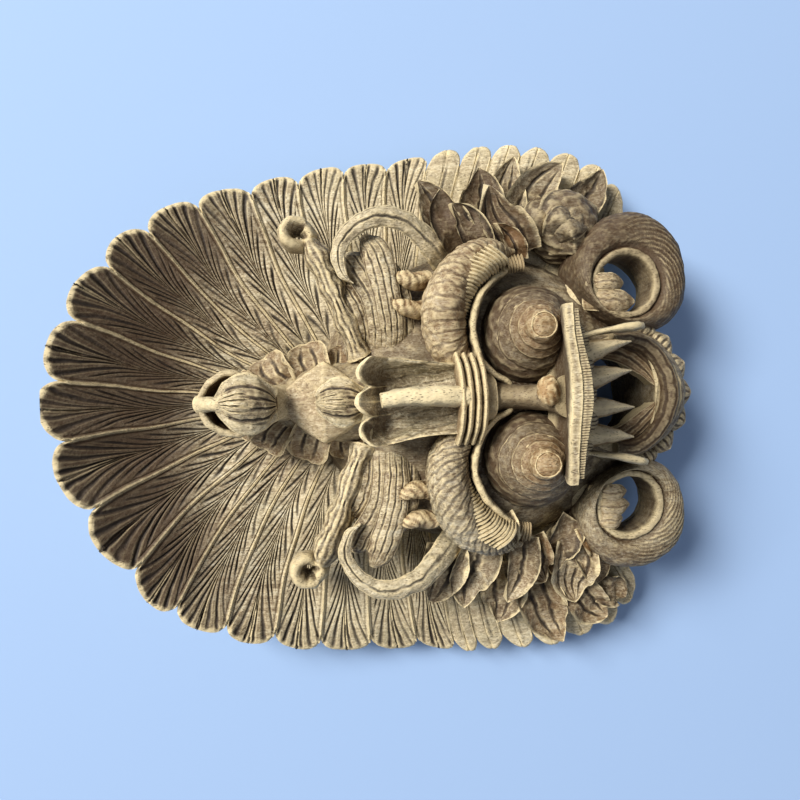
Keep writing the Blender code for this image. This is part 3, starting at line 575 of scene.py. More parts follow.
def carved(name, shells, **inputs):
    """A finished piece: its shells, cut by the knife, kept inside the solid's box, in wood."""
    blank = bpy.data.objects.new(name, plain_mesh(name, shells) if isinstance(shells, Shells) else shells)
    bpy.context.scene.collection.objects.link(blank)
    modifier = blank.modifiers.new("Knife", "NODES")
    modifier.node_group = knife
    set_input(modifier, "Wood", wood)
    for key, value in inputs.items():
        set_input(modifier, key.replace("_", " "), value)
    bpy.context.view_layer.update()
    mesh = bpy.data.meshes.new_from_object(blank.evaluated_get(bpy.context.evaluated_depsgraph_get()))
    blank.modifiers.clear()
    blank.data = mesh
    mesh.name = name
    points = np.empty(len(mesh.vertices) * 3, np.float32)
    mesh.vertices.foreach_get("co", points)
    mesh.vertices.foreach_set("co", np.clip(points.reshape(-1, 3), LOW, HIGH).astype(np.float32).ravel())
    mesh.shade_smooth()
    mesh.set_sharp_from_angle(angle=SHARP_EDGE)
    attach(blank, "root")
    print(name, len(mesh.polygons), "faces")
    return blank


# %% [markdown]
# The crown is a dish of nineteen feathers that fans out from the head and rises steeply at the
# top. Its rim is one curve through set points. Past the last feather it goes on as plain
# leaf lobes down both cheeks. A point of the dish is found from two numbers: its place round
# the rim and how far along the feather it lies.

# %% The crown's dish
FEATHERS_A_SIDE, RUFF_LOBES = 9, 8
CROWN_RIM = ((-177, -21), (-167, 74), (-122, 160), (0, 212), (106, 171), (153, 81), (171, -9))
RUFF_RIM = ((176, -60), (174, -102), (160, -143), (124, -169))
RUFF_ROOT = ((20, -4), (70, -30), (88, -70), (80, -108), (56, -124))
RIM_POINTS = [(-x, y) for x, y in reversed(RUFF_RIM)] + list(CROWN_RIM) + list(RUFF_RIM)
CROWN_RIM_Z, SIDE_RIM_Z, ROOT_Z, RUFF_DROP = 97.0, 27.0, 44.0, 6.0
RISE_FROM, RISE_OVER = -9.0, 221.0
RIM_STEEPNESS, DISH_STEEPNESS = 1.55, 1.9
HEAD_TURN, HEAD_HALF, HEAD_Y, HEAD_REACH = math.radians(118.0), 22.0, 24.0, 58.0
FEATHER_BOW = 0.20


def rim_at(place):
    """Rim points for signed places: up to 1 is feathers and up to 2 is the ruff."""
    p = np.abs(place)
    spans = np.minimum(p, 1) * 3 + np.maximum(p - 1, 0) * len(RUFF_RIM)
    flat = spline(RIM_POINTS, 0.5 + np.sign(place) * spans / (len(RIM_POINTS) - 1))
    share = np.clip((flat[..., 1] - RISE_FROM) / RISE_OVER, 0, 1) ** RIM_STEEPNESS
    return np.concatenate([flat, (SIDE_RIM_Z + (CROWN_RIM_Z - SIDE_RIM_Z) * share)[..., None]], axis=-1)


def root_at(place):
    """Where the feathers start: round the head, then down the cheeks for the ruff."""
    p, side = np.abs(place), np.sign(place)
    angle = HEAD_TURN * np.minimum(p, 1)
    head = np.stack([HEAD_HALF * np.sin(angle), HEAD_Y + HEAD_REACH * np.cos(angle)], axis=-1)
    cheek = spline(RUFF_ROOT, p - 1)
    flat = np.where((p <= 1)[..., None], head, cheek) * np.stack([side + (side == 0), 1 + 0 * side], axis=-1)
    z = np.where(p <= 1, ROOT_Z, ROOT_Z - RUFF_DROP * (p - 1))
    return np.concatenate([flat, z[..., None]], axis=-1)


def dish(place, along):
    """Points of the crown's dish, from the root at along 0 to the rim at along 1."""
    place, along = np.broadcast_arrays(np.asarray(place, float), np.asarray(along, float))
    root, rim = root_at(place), rim_at(place)
    bow = FEATHER_BOW * np.maximum(0, 1 - np.abs(place) * 0.75)
    inward = -0.25 * (rim[..., 1] - root[..., 1]) * np.clip(place * 5, -1, 1)
    middle = (root + rim) / 2
    middle[..., 0] += inward * bow
    middle[..., 1] += np.abs(rim[..., 0] - root[..., 0]) * bow
    a = along[..., None]
    points = root * (1 - a) ** 2 + middle * (2 * a * (1 - a)) + rim * a**2
    points[..., 2] = root[..., 2] + (rim[..., 2] - root[..., 2]) * np.maximum(along, 0) ** DISH_STEEPNESS
    return points


def dish_normal(place, along):
    """Which way the dish faces at a point, from four points close round it."""
    e = 0.004
    across = dish(place + e, along) - dish(place - e, along)
    out = dish(place, along + e) - dish(place, along - e)
    normal = unit(np.cross(across, out))
    return normal * np.sign(normal[..., 2:3])


# %% [markdown]
# One feather is a scooped channel between two crests, with a fine line for its quill. The barbs
# leave the quill at a low angle and sweep out to the edge, and at the tip they fan round to
# meet it. So the feather's mesh is woven along its barbs: each row is one line from the quill
# to the edge, which lets a few faces carry a crisp V cut. Each feather laps over its neighbour,
# and its rim is bevelled down to raw, pale wood.

# %% A feather
BARB_SPACING, BARB_ROWS, LOBE_ROWS, LAST_ROW = 9.0, 11, 44, 0.992
BARB_SWEEP, BARB_DEPTH = 0.4116, 1.35
TIP_ROUND, LOBE_ROUND, TIP_ARC = 11.0, 13.0, 17.0
SCOOP, LOBE_SCOOP = 2.4, -1.3
LAP, BEVEL, BEVEL_DROP = 0.55, 2.0, 1.5
ACROSS = np.array((0, 0.05, 0.11, 0.20, 0.31, 0.43, 0.55, 0.66, 0.75, 0.82, 0.875, 0.91, 0.94, 0.97, 1.0))
HOLLOW_LEVELS = ((-3, 1.0), (10, 0.99), (28, 0.88), (40, 0.68), (47, 0.42), (50, 0.12))
FACE_CENTRE, HOLLOW_SIZE = (0, -52), (72.2, 84.8)
DOWN = np.array((0, 0, -1.0))


def above_hollow(points, room):
    """Lifts points that would hang into the hollow behind the face."""
    away = np.linalg.norm((points[..., :2] - FACE_CENTRE) / HOLLOW_SIZE, axis=-1)
    heights, shares = zip(*reversed(HOLLOW_LEVELS))
    points[..., 2] = np.maximum(points[..., 2], np.interp(away, shares, heights, right=-9) + room)
    return points


def outline_reach(w, round_share, blunt):
    """How far a feather reaches along at a place w across it: a rounded tip."""
    return 1 - round_share * (1 - np.sqrt(np.clip(1 - np.abs(w) ** blunt, 0, 1)))


def feather(shells, start, end, rng, barbed=True):
    """A feather between two places of the rim, or a plain lobe of the ruff."""
    middle, half = (start + end) / 2, (end - start) / 2
    length = float(np.linalg.norm(rim_at(np.array(middle)) - root_at(np.array(middle))))
    rounding = (TIP_ROUND if barbed else LOBE_ROUND) / length
    scoop, groove, blunt = (SCOOP, 0.8, 2.4) if barbed else (LOBE_SCOOP, 0.25, 2.0)
    count = max(4, int(round(length / BARB_SPACING)))

    # Each row starts at beta on the quill and ends where the barb meets the edge
    beta = np.linspace(0.0, LAST_ROW, count * BARB_ROWS + 1 if barbed else LOBE_ROWS)
    reached = beta * (length + TIP_ARC) + BARB_SWEEP * length * np.sin(math.pi * beta)
    reached = np.maximum.accumulate(np.minimum(reached, length + TIP_ARC))
    phi = np.clip((reached - length) / TIP_ARC, 0, 1) * math.pi / 2
    edge_w = np.where(reached <= length, 1.0, np.cos(phi) ** 0.85)
    round_tip = outline_reach(edge_w, rounding, blunt)
    edge_t = np.where(reached <= length, reached / length * (1 - rounding), round_tip)
    s = np.concatenate([-ACROSS[:0:-1], ACROSS])
    near = np.abs(s)[None, :]
    w = np.sign(s) * edge_w[:, None] * (0.5 * near + 0.5 * near**2)
    t = beta[:, None] + (edge_t - beta)[:, None] * near
    place = middle + w * half
    base, normal = dish(place, t), dish_normal(place, t)

    # The channel, the lap, a crest beside each edge with a groove inside it, the quill and the bevel
    out = np.abs(w)
    at_root = eased(t * 4)
    height = scoop * (out**2 - 1.0) * (0.35 + 0.65 * t)
    height += LAP * (np.sign(middle) * w if abs(middle) > 0.01 else out) * t
    crest = 0.5 * bump(out, 0.96, 0.045) - groove * bump(out, 0.87, 0.035)
    bevel = np.clip(1 - (outline_reach(w, rounding, blunt) - t) * length / BEVEL, 0, 1)
    height += (crest - 0.9 * bump(w, 0, 0.03)) * at_root - BEVEL_DROP * bevel
    top = base + normal * height[..., None]
    bottom = base[:, [0, -1]] + DOWN * (12.0 - 4.0 * t[:, [0, -1]])[..., None]

    # Every barb has its own width, end and strength, as each is one push of the knife
    share = np.concatenate([[0], np.cumsum(0.75 + 0.5 * rng.random(count))])
    barb = np.interp(beta, share / share[-1] * LAST_ROW, np.arange(count + 1))
    which = np.minimum(barb.astype(int), count)
    stop = (0.78 + 0.12 * rng.random((count + 1, 2)))[which]
    strength = (0.6 + 0.6 * rng.random((count + 1, 2)))[which]
    stop, strength = (np.where(s < 0, v[:, :1], v[:, 1:]) for v in (stop, strength))
    if barbed:
        tip = eased((edge_t - 0.90) * 14)[:, None]
        run = eased((stop - near) / 0.12) * (1 - tip) + eased((0.985 - near) / 0.03) * tip
        depth = BARB_DEPTH * eased(near / 0.09) * run * strength * (0.45 + 0.55 * eased(t * 3))
    else:
        crease = bump(w, rng.choice((0.3, -0.2)) - 0.1, 0.06)
        depth = 0.9 * eased((t - 0.35) * 5) * eased((0.93 - t) * 12) * crease

    # The top of the crown is darker, partly real patina and partly painted shade. Crests and side feathers
    # are paler, partly rubbed wear and partly painted light
    off = abs(middle - 0.05)
    crown_patina_and_shade = -eased((t - 0.1 - 0.7 * off) * 2.4) * eased(1.7 - off * 2.2)
    lightness = 0.15 * bump(out, 0.96, 0.05) * at_root + 0.3 * eased(abs(middle) * 3 - 1.2)
    shells.slab(
        above_hollow(top, 3.0), above_hollow(bottom, 1.0), phase=barb[:, None] if barbed else 0.5,
        depth=depth, worn=np.where(bevel > 0.05, bevel, lightness + crown_patina_and_shade),
    )


# %% [markdown]
# The feathers are carved in two pieces, one for each side. The outermost feather of a side ends
# where the first lobe of the ruff begins.

# %% The feather crown
rng = np.random.default_rng(11)
edges = [(i + 0.5) / FEATHERS_A_SIDE for i in range(FEATHERS_A_SIDE)]
lobes = [1 + (k + 0.5) / RUFF_LOBES for k in range(RUFF_LOBES)]
bounds = [-b for b in reversed(edges)] + edges
left_crown, right_crown = Shells(), Shells()
for start, end in zip(bounds, bounds[1:]):
    feather(right_crown if start + end > 0.001 else left_crown, start, end, rng)
for side, crown in ((-1, left_crown), (1, right_crown)):
    feather(crown, *sorted((side * edges[-1], side * lobes[0])), rng)
carved("crown_feathers_left", left_crown, Cut_share=0.55)
carved("crown_feathers_right", right_crown, Cut_share=0.55, Seed=3.0)

# %% [markdown]
# Down the cheeks the rim goes on as plain rounded lobes, each with one crease.

# %% The ruff
ruff = Shells()
for side in (-1, 1):
    for a, b in zip(lobes, lobes[1:]):
        feather(ruff, *sorted((side * a, side * b)), rng, barbed=False)
carved("ruff_lobes", ruff, Cut_share=1.0, Unevenness=0.0008, Gouge_depth=0.0012)

# %% [markdown]
# Behind all the ornament is the face block: a dome on an oval, hollowed from the back so
# that it is a shell, with the mouth cut right through. The hollow and the mouth are cut by
# Boolean, as the carver cut them after the outside was roughed out.

# %% The face block
FACE_LEVELS = ((0, 0.90), (10, 0.97), (28, 1.0), (48, 0.95), (62, 0.84), (72, 0.66), (76, 0.40), (77, 0.10))
CHIN_LEVELS = ((4, 0.90), (16, 1.0), (62, 1.0), (72, 0.94), (77, 0.84))
MOUTH_LEVELS = ((-3, 1.0), (60, 1.0), (130, 1.08))
MOUTH_CENTRE = (0, -137)


def stack(levels, centre, a, b, sides=96, power=1.0, count=40):
    """A solid of stacked ovals. levels are (height, share of the full size)."""
    k = smoothed(levels, count)
    c, s = squared(2 * math.pi * np.arange(sides) / sides, power)
    x = centre[0] + a * k[:, 1:] * c
    y = centre[1] + b * k[:, 1:] * s
    shells = Shells()
    shells.loft(np.stack([x, y, np.broadcast_to(k[:, :1], x.shape)], axis=-1), worn=-0.6)
    return shells


def block_part(name, shells, join=None, how="UNION"):
    """An object from shells, added to the block or cut out of it."""
    obj = bpy.data.objects.new(name, plain_mesh(name, shells))
    bpy.context.scene.collection.objects.link(obj)
    if join is not None:
        cutter = join.modifiers.new(name, "BOOLEAN")
        cutter.operation, cutter.object, cutter.solver = how, obj, "MANIFOLD"
    return obj


block = block_part("face_block", stack(FACE_LEVELS, FACE_CENTRE, 98, 112, sides=200, count=70))
crest = Shells()
limb(crest, ((0, -16, 60), (0, 20, 62), (0, 52, 60), (0, 90, 50)),
     ((0, 24), (0.35, 26), (0.7, 23), (1, 13)), (24, 22, 14), 60, 48, worn=-0.4)
helpers = [
    block_part("crest", crest, block),
    block_part("chin", stack(CHIN_LEVELS, MOUTH_CENTRE, 42, 43), block),
    block_part("hollow", stack(HOLLOW_LEVELS, FACE_CENTRE, *HOLLOW_SIZE), block, "DIFFERENCE"),
    block_part("mouth", stack(MOUTH_LEVELS, MOUTH_CENTRE, 30, 20, power=0.8), block, "DIFFERENCE"),
]
bpy.context.view_layer.update()
block_mesh = bpy.data.meshes.new_from_object(block.evaluated_get(bpy.context.evaluated_depsgraph_get()))
for obj in [block] + helpers:
    bpy.data.objects.remove(obj)
face = carved("face_block", block_mesh, Unevenness=0.0008, Gouge_depth=0.0012)
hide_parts("mask")

# %% [markdown]
# Each eye is a tall stepped cone that ends in a boss, and it stands in a deep socket. On the
# crown side a thin lid rises like a wall, and at its outer end it breaks into short lashes.

# %% Eyes, lids and lashes
EYE_X, EYE_Y = 38.5, -80.0
EYE_PROFILE = (
    (30, 56), (30.4, 66), (29.6, 76), (27.8, 84), (25.8, 89), (23.4, 92.8), (22.6, 93.8), (22.3, 95.8),
    (21.4, 96.8), (19.0, 99.4), (17.4, 101.2), (16.8, 102.2), (16.5, 104.2), (15.6, 105.0), (13.6, 107.0),
    (12.6, 108.2), (12.3, 110.2), (11.6, 111.0), (10.2, 112.0), (9.3, 112.8), (8.9, 115.6), (8.2, 118.6),
    (7.0, 120.4), (6.2, 120.1), (5.6, 120.6), (3.0, 121.6), (0.3, 121.8),
)
LID = (
    (146, 33, 72), (130, 34.5, 76), (112, 35.8, 78), (85, 36.5, 79), (60, 37, 78), (42, 37.5, 75),
    (28, 38.5, 70),
)
LASHES = 10


def round_eye(side, points):
    """Points given as (degrees, radius, height) round the eye of one side."""
    turns = [(math.radians(d), r, z) for d, r, z in points]
    return mirrored([(EYE_X + r * math.cos(a), EYE_Y + r * math.sin(a), z) for a, r, z in turns], side)


eyes = Shells()
cone = smoothed(EYE_PROFILE, 140)
# Painted shade with some soil: the cone is darker the lower it lies in its deep socket
soil_and_shade = np.interp(cone[:, 1:], (60, 92, 100, 110, 118), (-0.95, -0.95, -0.75, -0.65, -0.4))
skin = np.interp(cone[:, 1:], (100, 118), (0.0, 0.45))
for side in (-1, 1):
    turned_piece(eyes, cone, (side * EYE_X, EYE_Y, 0), sides=120, wobble=0.011, worn=soil_and_shade, ruddy=skin)
    limb(eyes, round_eye(side, LID), (2.0, 2.5, 2.0), (17, 18, 15), 110, 24, 0.55, worn=-0.35)
    for k in range(LASHES):
        lash = round_eye(side, [(25 - 2.4 * k, r, z) for r, z in ((46, 74), (42, 79), (38.5, 78))])
        limb(eyes, lash, ((0, 1.0), (0.6, 0.9), (1, 0.4)), ((0, 5), (0.6, 3), (1, 0.8)), 14, 12,
             worn=-1.0, ruddy=0.3)
carved("eyes", eyes, Gouge_depth=0.0009, Gouge_width=0.0055, Unevenness=0.0004)

# %% [markdown]
# The brows are fat rolls that follow the lids. On the mask's right side soft ridges run
# across the roll, and on its left the hair is cut in slanting strands. Both end at the lid in
# a fringe of small points. Two stippled spurs stand behind each brow.

# %% Brows and spurs
BROW = ((120, 45, 80), (95, 51, 84), (72, 54, 85), (50, 56, 81), (30, 55, 75), (12, 52, 68))
BROW_CUTS = {
    -1: {"steps": 260, "sides": 116, "ridges": 23, "strands": 12, "cut": 0.55},
    1: {"steps": 220, "sides": 60, "ridges": 19, "strands": 2, "cut": 0.4, "ruddy": 0.25},
}
FRINGE = 26
brows = Shells()
for side, cuts in BROW_CUTS.items():
    # Painted shade: each roll is darker on its side towards the lid, in the groove between them
    to_lid = side * np.cos(corner_angles(cuts["sides"]))
    limb(brows, round_eye(side, BROW), ((0, 7), (0.2, 12.0), (0.55, 13.0), (0.85, 9), (1, 3)),
         ((0, 12), (0.25, 18.5), (0.7, 19.5), (1, 10)), square=0.85, worn=-0.55 - 0.45 * to_lid, **cuts)
    for k in range(FRINGE):
        hair = [(92 - 2.8 * k + (r - 45) * 0.5, r, z) for r, z in ((56, 96), (47, 95.5), (39.5, 85))]
        limb(brows, round_eye(side, hair), (1.0, 1.35, 0.3), (4, 5.0, 1.2), 14, 12, worn=-0.6)
    for x, y, lift in ((56, 0, 0), (74, -2, -2)):
        z = 82 + lift
        spur = ((x, y - 16, 75), (x - 1, y - 8, z), (x + 1, y - 2, z + 3), (x + 4, y + 2, z + 1))
        limb(brows, mirrored(spur, side), ((0, 5.6), (0.5, 5.0), (0.75, 3.6), (0.9, 2.0), (1, 0.4)),
             ((0, 9), (0.5, 5.5), (0.8, 3.0), (1, 0.6)), 36, 24, ridges=5, strands=3, cut=0.6,
             worn=-0.4, ruddy=0.6)
carved("brows", brows, Cut_share=0.4, Wander=1.2, Unevenness=0.0010, Gouge_depth=0.0013, Gouge_width=0.006)

# %% [markdown]
# The snout sweeps up between the eyes to a wide wavy edge, the highest part of the mask. Its
# top is a flat band of raw wood. Behind it, on the chin side, a second thinner band is
# nicked like a comb: the upper lip. Four folds of skin lie across its root.

# %% The snout
SNOUT_HALF, LIP_HALF = 46.0, 43.0
FOLDS = 4
CURLED = (
    (1, 0, 149.9), (1.1, 0, 149.0), (1.1, -0.6, 143), (1.1, -2.0, 136), (1, -4.5, 126), (1, -7.5, 114),
    (1, -8.5, 104), (1, -7, 94), (1, -3, 86), (-1, -16, 86), (-1, -15, 100), (-1, -10, 115), (-1, -5, 128),
    (-1.1, -1.5, 140), (-1.1, 0, 149.0), (-1, 0, 149.9), (-0.5, 0, 149.9), (0, 0, 149.9), (0.5, 0, 149.9),
)
LIP = (
    (1, 0, 148.0), (1.1, 0, 147.2), (1.1, 0, 140), (1, -3, 120), (1, -9, 100), (1, -11, 88), (-1, -16, 88),
    (-1, -13, 104), (-1, -6, 122), (-1.1, -1, 138), (-1.1, 0, 147.2), (-1, 0, 148.0), (-0.5, 0, 148.2),
    (0, 0, 148.2), (0.5, 0, 148.2),
)


def snout_wall(shells, width, centre, half, profile, bare, nicks=0, cut=0.0):
    """A wall across the face. centre and half are (end, middle) pairs, and the profile leans it."""
    x = np.linspace(-width, width, 300 if nicks else 110)
    bow = np.cos(math.pi * np.clip(x / (2 * SNOUT_HALF), -0.5, 0.5)) ** 2
    middle = centre[0] + (centre[1] - centre[0]) * bow
    wide = half[0] + (half[1] - half[0]) * bow
    drop = 4.0 * np.abs(x / SNOUT_HALF) ** 4
    rings = [np.stack([x, middle + way * wide + lean, z - drop * (z > 110)], -1) for way, lean, z in profile]
    level = np.array([z for _, _, z in profile])
    # The top band keeps its bare tone, and the walls below it are painted dark as shade
    shells.loft(np.stack(rings, axis=1), phase=(x[:, None] / (2 * width) + 0.5) * nicks,
                depth=cut * (level > 120), worn=np.where(level > level.max() - 1.2, bare, -0.85))


snout = Shells()
snout_wall(snout, SNOUT_HALF, (-86.0, -88.5), (2.0, 2.5), CURLED, 0.05)
snout_wall(snout, LIP_HALF, (-90.0, -94.2), (1.2, 2.6), LIP, -0.6, nicks=64, cut=0.45)
limb(snout, ((0, -42, 76), (0, -58, 79), (0, -74, 84), (0, -88, 96), (0, -94, 110)),
     ((0, 15), (0.4, 8), (0.75, 8.5), (1, 12)), (18, 15, 8), 80, 36, worn=-0.8)
limb(snout, ((0, -33, 86), (0, -42, 84), (0, -49, 81)), (18, 15), (20, 20), 20, 30, 0.7, worn=-0.5)
nose = smoothed(((2.5, -8), (6.0, -5), (7.6, 0), (6.6, 4), (4.0, 6.4), (1.0, 7.2)), 24)
turned_piece(snout, nose, (3, -84, 112), (0.0, 0.8, 1.0), 40, squash=(1.15, 0.8), wobble=0.05,
             ruddy=0.8, worn=-0.35)
for k in range(FOLDS):
    y, z = -35.0 - 4.5 * k, 100.0 - 1.6 * k
    fold = ((-21, y + 1.5, z - 7), (-12, y, z - 1), (0, y - 1.0, z), (12, y, z - 1), (21, y + 1.5, z - 7))
    limb(snout, fold, (2.2, 2.6, 2.2), (11, 12, 11), 60, 22, 0.9, worn=-0.5, ruddy=0.25)
carved("snout", snout, Cut_share=0.3, Wander=0.35)

# %% [markdown]
# Four broad fangs hang from the upper gum into the open mouth, with a flat tusk at each
# corner. The lower jaw is a thick lip with two tongues of flame inside, and its beard ends in
# scallops with fine points.

# %% Mouth and fangs
GUM = ((-41, -103, 84), (-24, -107, 88), (0, -108, 89), (24, -107, 88), (41, -103, 84))
FANGS = (
    # root x, tip x, tip y, half width
    (24.5, 30, -136, 7.0), (9.5, 13, -136, 7.6), (-7.5, -8, -136, 7.0), (-23.5, -25, -135, 7.4)
)
FANG_SIDES = 24
# Painted light and shade: facets facing out of the face are pale, the others dark
FANG_LIGHT_AND_SHADE = np.where(np.sin(corner_angles(FANG_SIDES)) > 0.45, 0.6, -0.8)
TUSK = ((33, -103, 88), (35, -114, 94), (37, -128, 98), (39.5, -143, 98))
SCALLOPS = 7
mouth = Shells()
limb(mouth, GUM, ((0, 6), (0.3, 8), (0.7, 8), (1, 6)), (15, 16, 15), 220, 28, ridges=46, cut=0.5, worn=-0.8)
for x, tip_x, tip_y, width in FANGS:
    lean = tip_x - x
    fang = ((x - lean * 0.3, -104, 92), (x, -112, 97), (x + lean * 0.5, -124, 99), (tip_x, tip_y, 97))
    limb(mouth, fang, (width * 1.5, 0.3), ((0, 12), (0.3, 9), (1, 0.4)), 50, FANG_SIDES, 1.5,
         ruddy=0.35, worn=FANG_LIGHT_AND_SHADE)
for side in (-1, 1):
    limb(mouth, mirrored(TUSK, side), ((0, 1.6), (0.5, 1.7), (0.85, 2.5), (1, 1.8)),
         ((0, 10), (0.6, 8), (0.95, 5), (1, 3)), 50, 18, 0.7, worn=-0.3)
    flame = mirrored(((31, -122, 62), (27, -140, 72), (16, -153, 76), (3 if side > 0 else 6, -159, 76)), side)
    leaf(mouth, flame, 8.0, ((0, 0.8), (0.4, 1.0), (0.8, 0.6), (1, 0.1)), thick=16, cup=-0.25, flutes=3,
         cut=0.8, size=(50, 31), undercut=0.9, worn=-0.85, ruddy=0.25)
jaw_heights = (76, 75, 74, 73, 73, 73, 74, 75, 76)
jaw = arc(MOUTH_CENTRE, (34, 29), (166, 190, 215, 242, 270, 298, 325, 350, 374), jaw_heights)
limb(mouth, jaw, (4.5, 6.0, 4.5), (10, 10), 170, 60, 0.9, strands=7, cut=0.45, worn=-1.0)
beard = arc((0, -139), (40, 33), (186, 205, 228, 250, 270, 290, 312, 335, 354), (59,) * 9)
limb(mouth, beard, (4.0, 5.5, 4.0), (10, 11, 10), 300, 32, 0.9, ridges=52, cut=0.8, worn=-0.8)
for k in range(SCALLOPS):
    a = math.radians(204 + 132 * k / (SCALLOPS - 1))
    c, s = math.cos(a), math.sin(a)
    scallop = [((42 + r) * c, -139 + (36 + r) * s, z) for r, z in ((-6, 64), (2, 70), (9.4, 66))]
    leaf(mouth, scallop, 8.8, ROUNDED, thick=12, cup=-0.3, flutes=4, cut=0.7, size=(24, 29), undercut=0.9,
         worn=-0.5)
carved("mouth_and_fangs", mouth, Cut_share=0.5, Wander=0.7, Unevenness=0.0006)

# %% [markdown]
# A great ring curls beside each corner of the mouth. Its hole goes right through the block,
# with a flat band round it. Outside the band the wood falls away slowly in curved flutes.
# Small petals stand in each hole.

# %% Rings beside the mouth
RING_HOLE, RING_BAND, RING_TILT = 17.5, 22.0, 0.06
RING_INSIDE = (
    (5, 30), (4, 40), (0, 49), (0, 60), (0, 70), (0.3, 73.4), (0.8, 74.7), (1.6, 75.3), (2.4, 75.5),
    (3.2, 75.5), (3.8, 75.2), (4.3, 74.6),
)
RING_FALL = (
    (0.08, 73.5), (0.2, 75.6), (0.4, 75.6), (0.6, 74), (0.76, 71), (0.88, 66), (0.96, 59), (1.0, 50),
    (1.0, 40),
)
RING_REACHES = (
    (0, 0.95), (0.11, 0.84), (0.3, 0.58), (0.5, 0.54), (0.64, 0.78), (0.75, 0.86), (0.95, 1.0), (1, 0.95)
)
PETALS = {
    # tip x, tip y, half width
    1: ((70, -143, 5.6), (58, -149, 7.2)),
    -1: ((61, -140, 5.2), (69.5, -142, 5.4), (78, -138, 5.2)),
}


def mouth_ring(shells, side, centre, reach, soil_and_shade):
    """A ring's bore, band and fluted fall. A section point is (radius, share of the fall, height)."""
    section = [(RING_HOLE + r, 0, z) for r, z in RING_INSIDE]
    section += [(RING_BAND + 0.4, 0.01, 73.0), (RING_BAND + 0.8, 0.03, 72.8)]
    section += [(0, share, z) for share, z in smoothed(RING_FALL, 64)] + [(0, 0.95, 32), (0, 0.6, 30)]
    turns = np.linspace(0, 1, 220, endpoint=False)[:, None]
    angle = 2 * math.pi * turns[:, 0]
    outer = reach * keyed(RING_REACHES, turns[:, 0])
    rings = []
    for radius, share, z in section:
        r = radius if radius else RING_BAND + (outer - RING_BAND) * share
        y = centre[1] + r * np.sin(angle)
        high = z + RING_TILT * (y - centre[1]) * (z > 45) + (1.0 - outer / reach) * 8 * (share > 0.05)
        rings.append(np.stack([side * (centre[0] + r * np.cos(angle)), y, high], axis=-1))
    across = np.array([share for _, share, _ in section])
    in_bore = np.array([radius == RING_HOLE for radius, _, _ in section])
    falls = eased((across - 0.08) * 8) * eased((1.02 - across) * 8) * (0.1 + bump(turns, 0.84, 0.13))
    # The bore is painted dark as shade, and the band and the fall take the ring's darkening
    tone = np.where(in_bore, -0.8, np.where(across < 0.005, soil_and_shade * 0.95, soil_and_shade))
    shells.loft(np.stack(rings, axis=1), True, phase=turns * 26 + across * 9, depth=0.6 * falls, worn=tone)


rings = Shells()
mouth_ring(rings, 1, (69.0, -143.0), 50.0, -0.95)
mouth_ring(rings, -1, (69.0, -141.0), 46.0, -0.5)
for side in (-1, 1):
    limb(rings, mirrored(((58, -110, 38), (68, -124, 42), (84, -130, 42)), side),
         ((0, 18), (0.6, 14), (1, 9)), (26, 20), 30, 20)
    for x, tip_y, width in PETALS[side]:
        petal = mirrored(((x, -116, 70), (x, -124, 78), (x, (tip_y - 126) / 2, 78), (x, tip_y, 71)), side)
        leaf(rings, petal, width, ROUNDED, thick=12, cup=-0.35, flutes=2, cut=0.4, size=(36, 21),
             undercut=0.8, worn=-0.5 if side > 0 else -0.2, ruddy=0.3)
carved("mouth_rings", rings, Cut_share=0.35, Wander=1.2, Unevenness=0.0007, Gouge_depth=0.0006)

# %% [markdown]
# Leaves fan out from each cheek over the ruff. They are cupped: both edges stand up in a thin
# pale rim over a hollow that is painted dark as shade. Below them sits a bud, closed under six
# leaves on the mask's right and plain between broad leaves on its left.

# %% Cheek leaves and buds
CHEEK_LEAVES = (
    # root, tip, half width, flutes, soil and shade, ruddy
    ((102, -32, 66), (139, -15, 66), 10, 2, -0.3, 0),
    ((96, -42, 68), (131, -29, 73), 11, 1, -0.4, 0),
    ((90, -54, 72), (120, -36, 77), 9, 1, -0.3, 0),
    ((91, -80, 62), (130, -59, 78), 14, 4, -0.35, 0.1),
    ((88, -78, 66), (108, -64, 74), 6.0, 2, -0.5, 0.3),
    ((110, -79, 50), (152, -111, 54), 14, 3, 0.0, 0),
    ((105, -55, 52), (152, -56, 52), 14, 2, -0.3, 0),
    ((108, -73, 50), (160, -81, 44), 12, 3, 0.0, 0),
    ((114, -111, 48), (150, -140, 44), 11, 2, -0.2, 0),
    ((-94, -27, 64), (-131, -16, 58), 13, 3, -0.2, 0),
    ((-93, -51, 66), (-136, -37, 58), 12, 2, -0.2, 0),
    ((-87, -75, 74), (-129, -64, 70), 9, 2, 0.0, 0.1),
    ((-89, -78, 68), (-119, -90, 64), 11, 4, -0.1, 0.35),
    ((-73, -59, 80), (-94, -57, 84), 8.5, 0, 0.0, 0.1),
    ((-117, -83, 50), (-165, -105, 44), 14, 3, 0.0, 0.2),
    ((-109, -62, 54), (-148, -60, 50), 14, 3, -0.1, 0),
    ((-125, -112, 50), (-150, -135, 42), 12, 3, 0.0, 0.15),
    ((-130, -129, 46), (-137, -147, 42), 9, 1, 0.0, 0.1),
    ((-79, -108, 68), (-115, -95, 62), 9, 1, -0.35, 0),
    ((-82, -117, 68), (-107, -126, 62), 10, 0, -0.1, 0.6),
    ((-94, -109, 66), (-135, -111, 54), 13, 5, 0.0, 0.1),
    ((-98, -115, 64), (-123, -126, 54), 9, 2, 0.0, 0.2),
)
CHEEK_LEAF = ((0, 0.85), (0.35, 1.0), (0.7, 0.72), (0.92, 0.30), (1, 0.04))
LEAF_COLUMNS = 35
BUD_LEAF = ((0, 0.5), (0.5, 1.0), (0.8, 0.75), (1, 0.08))
BUD_LEAVES = (
    # tip x, tip y, lift, half width
    (131, -96, -4, 11), (134, -114, -2, 11), (121, -130, 0, 11), (101, -132, -1, 11), (118, -112, 5, 8),
    (106, -121, 5, 8),
)
leaves = Shells()
edge = eased((np.abs(np.linspace(-1, 1, LEAF_COLUMNS)) - 0.84) * 9)
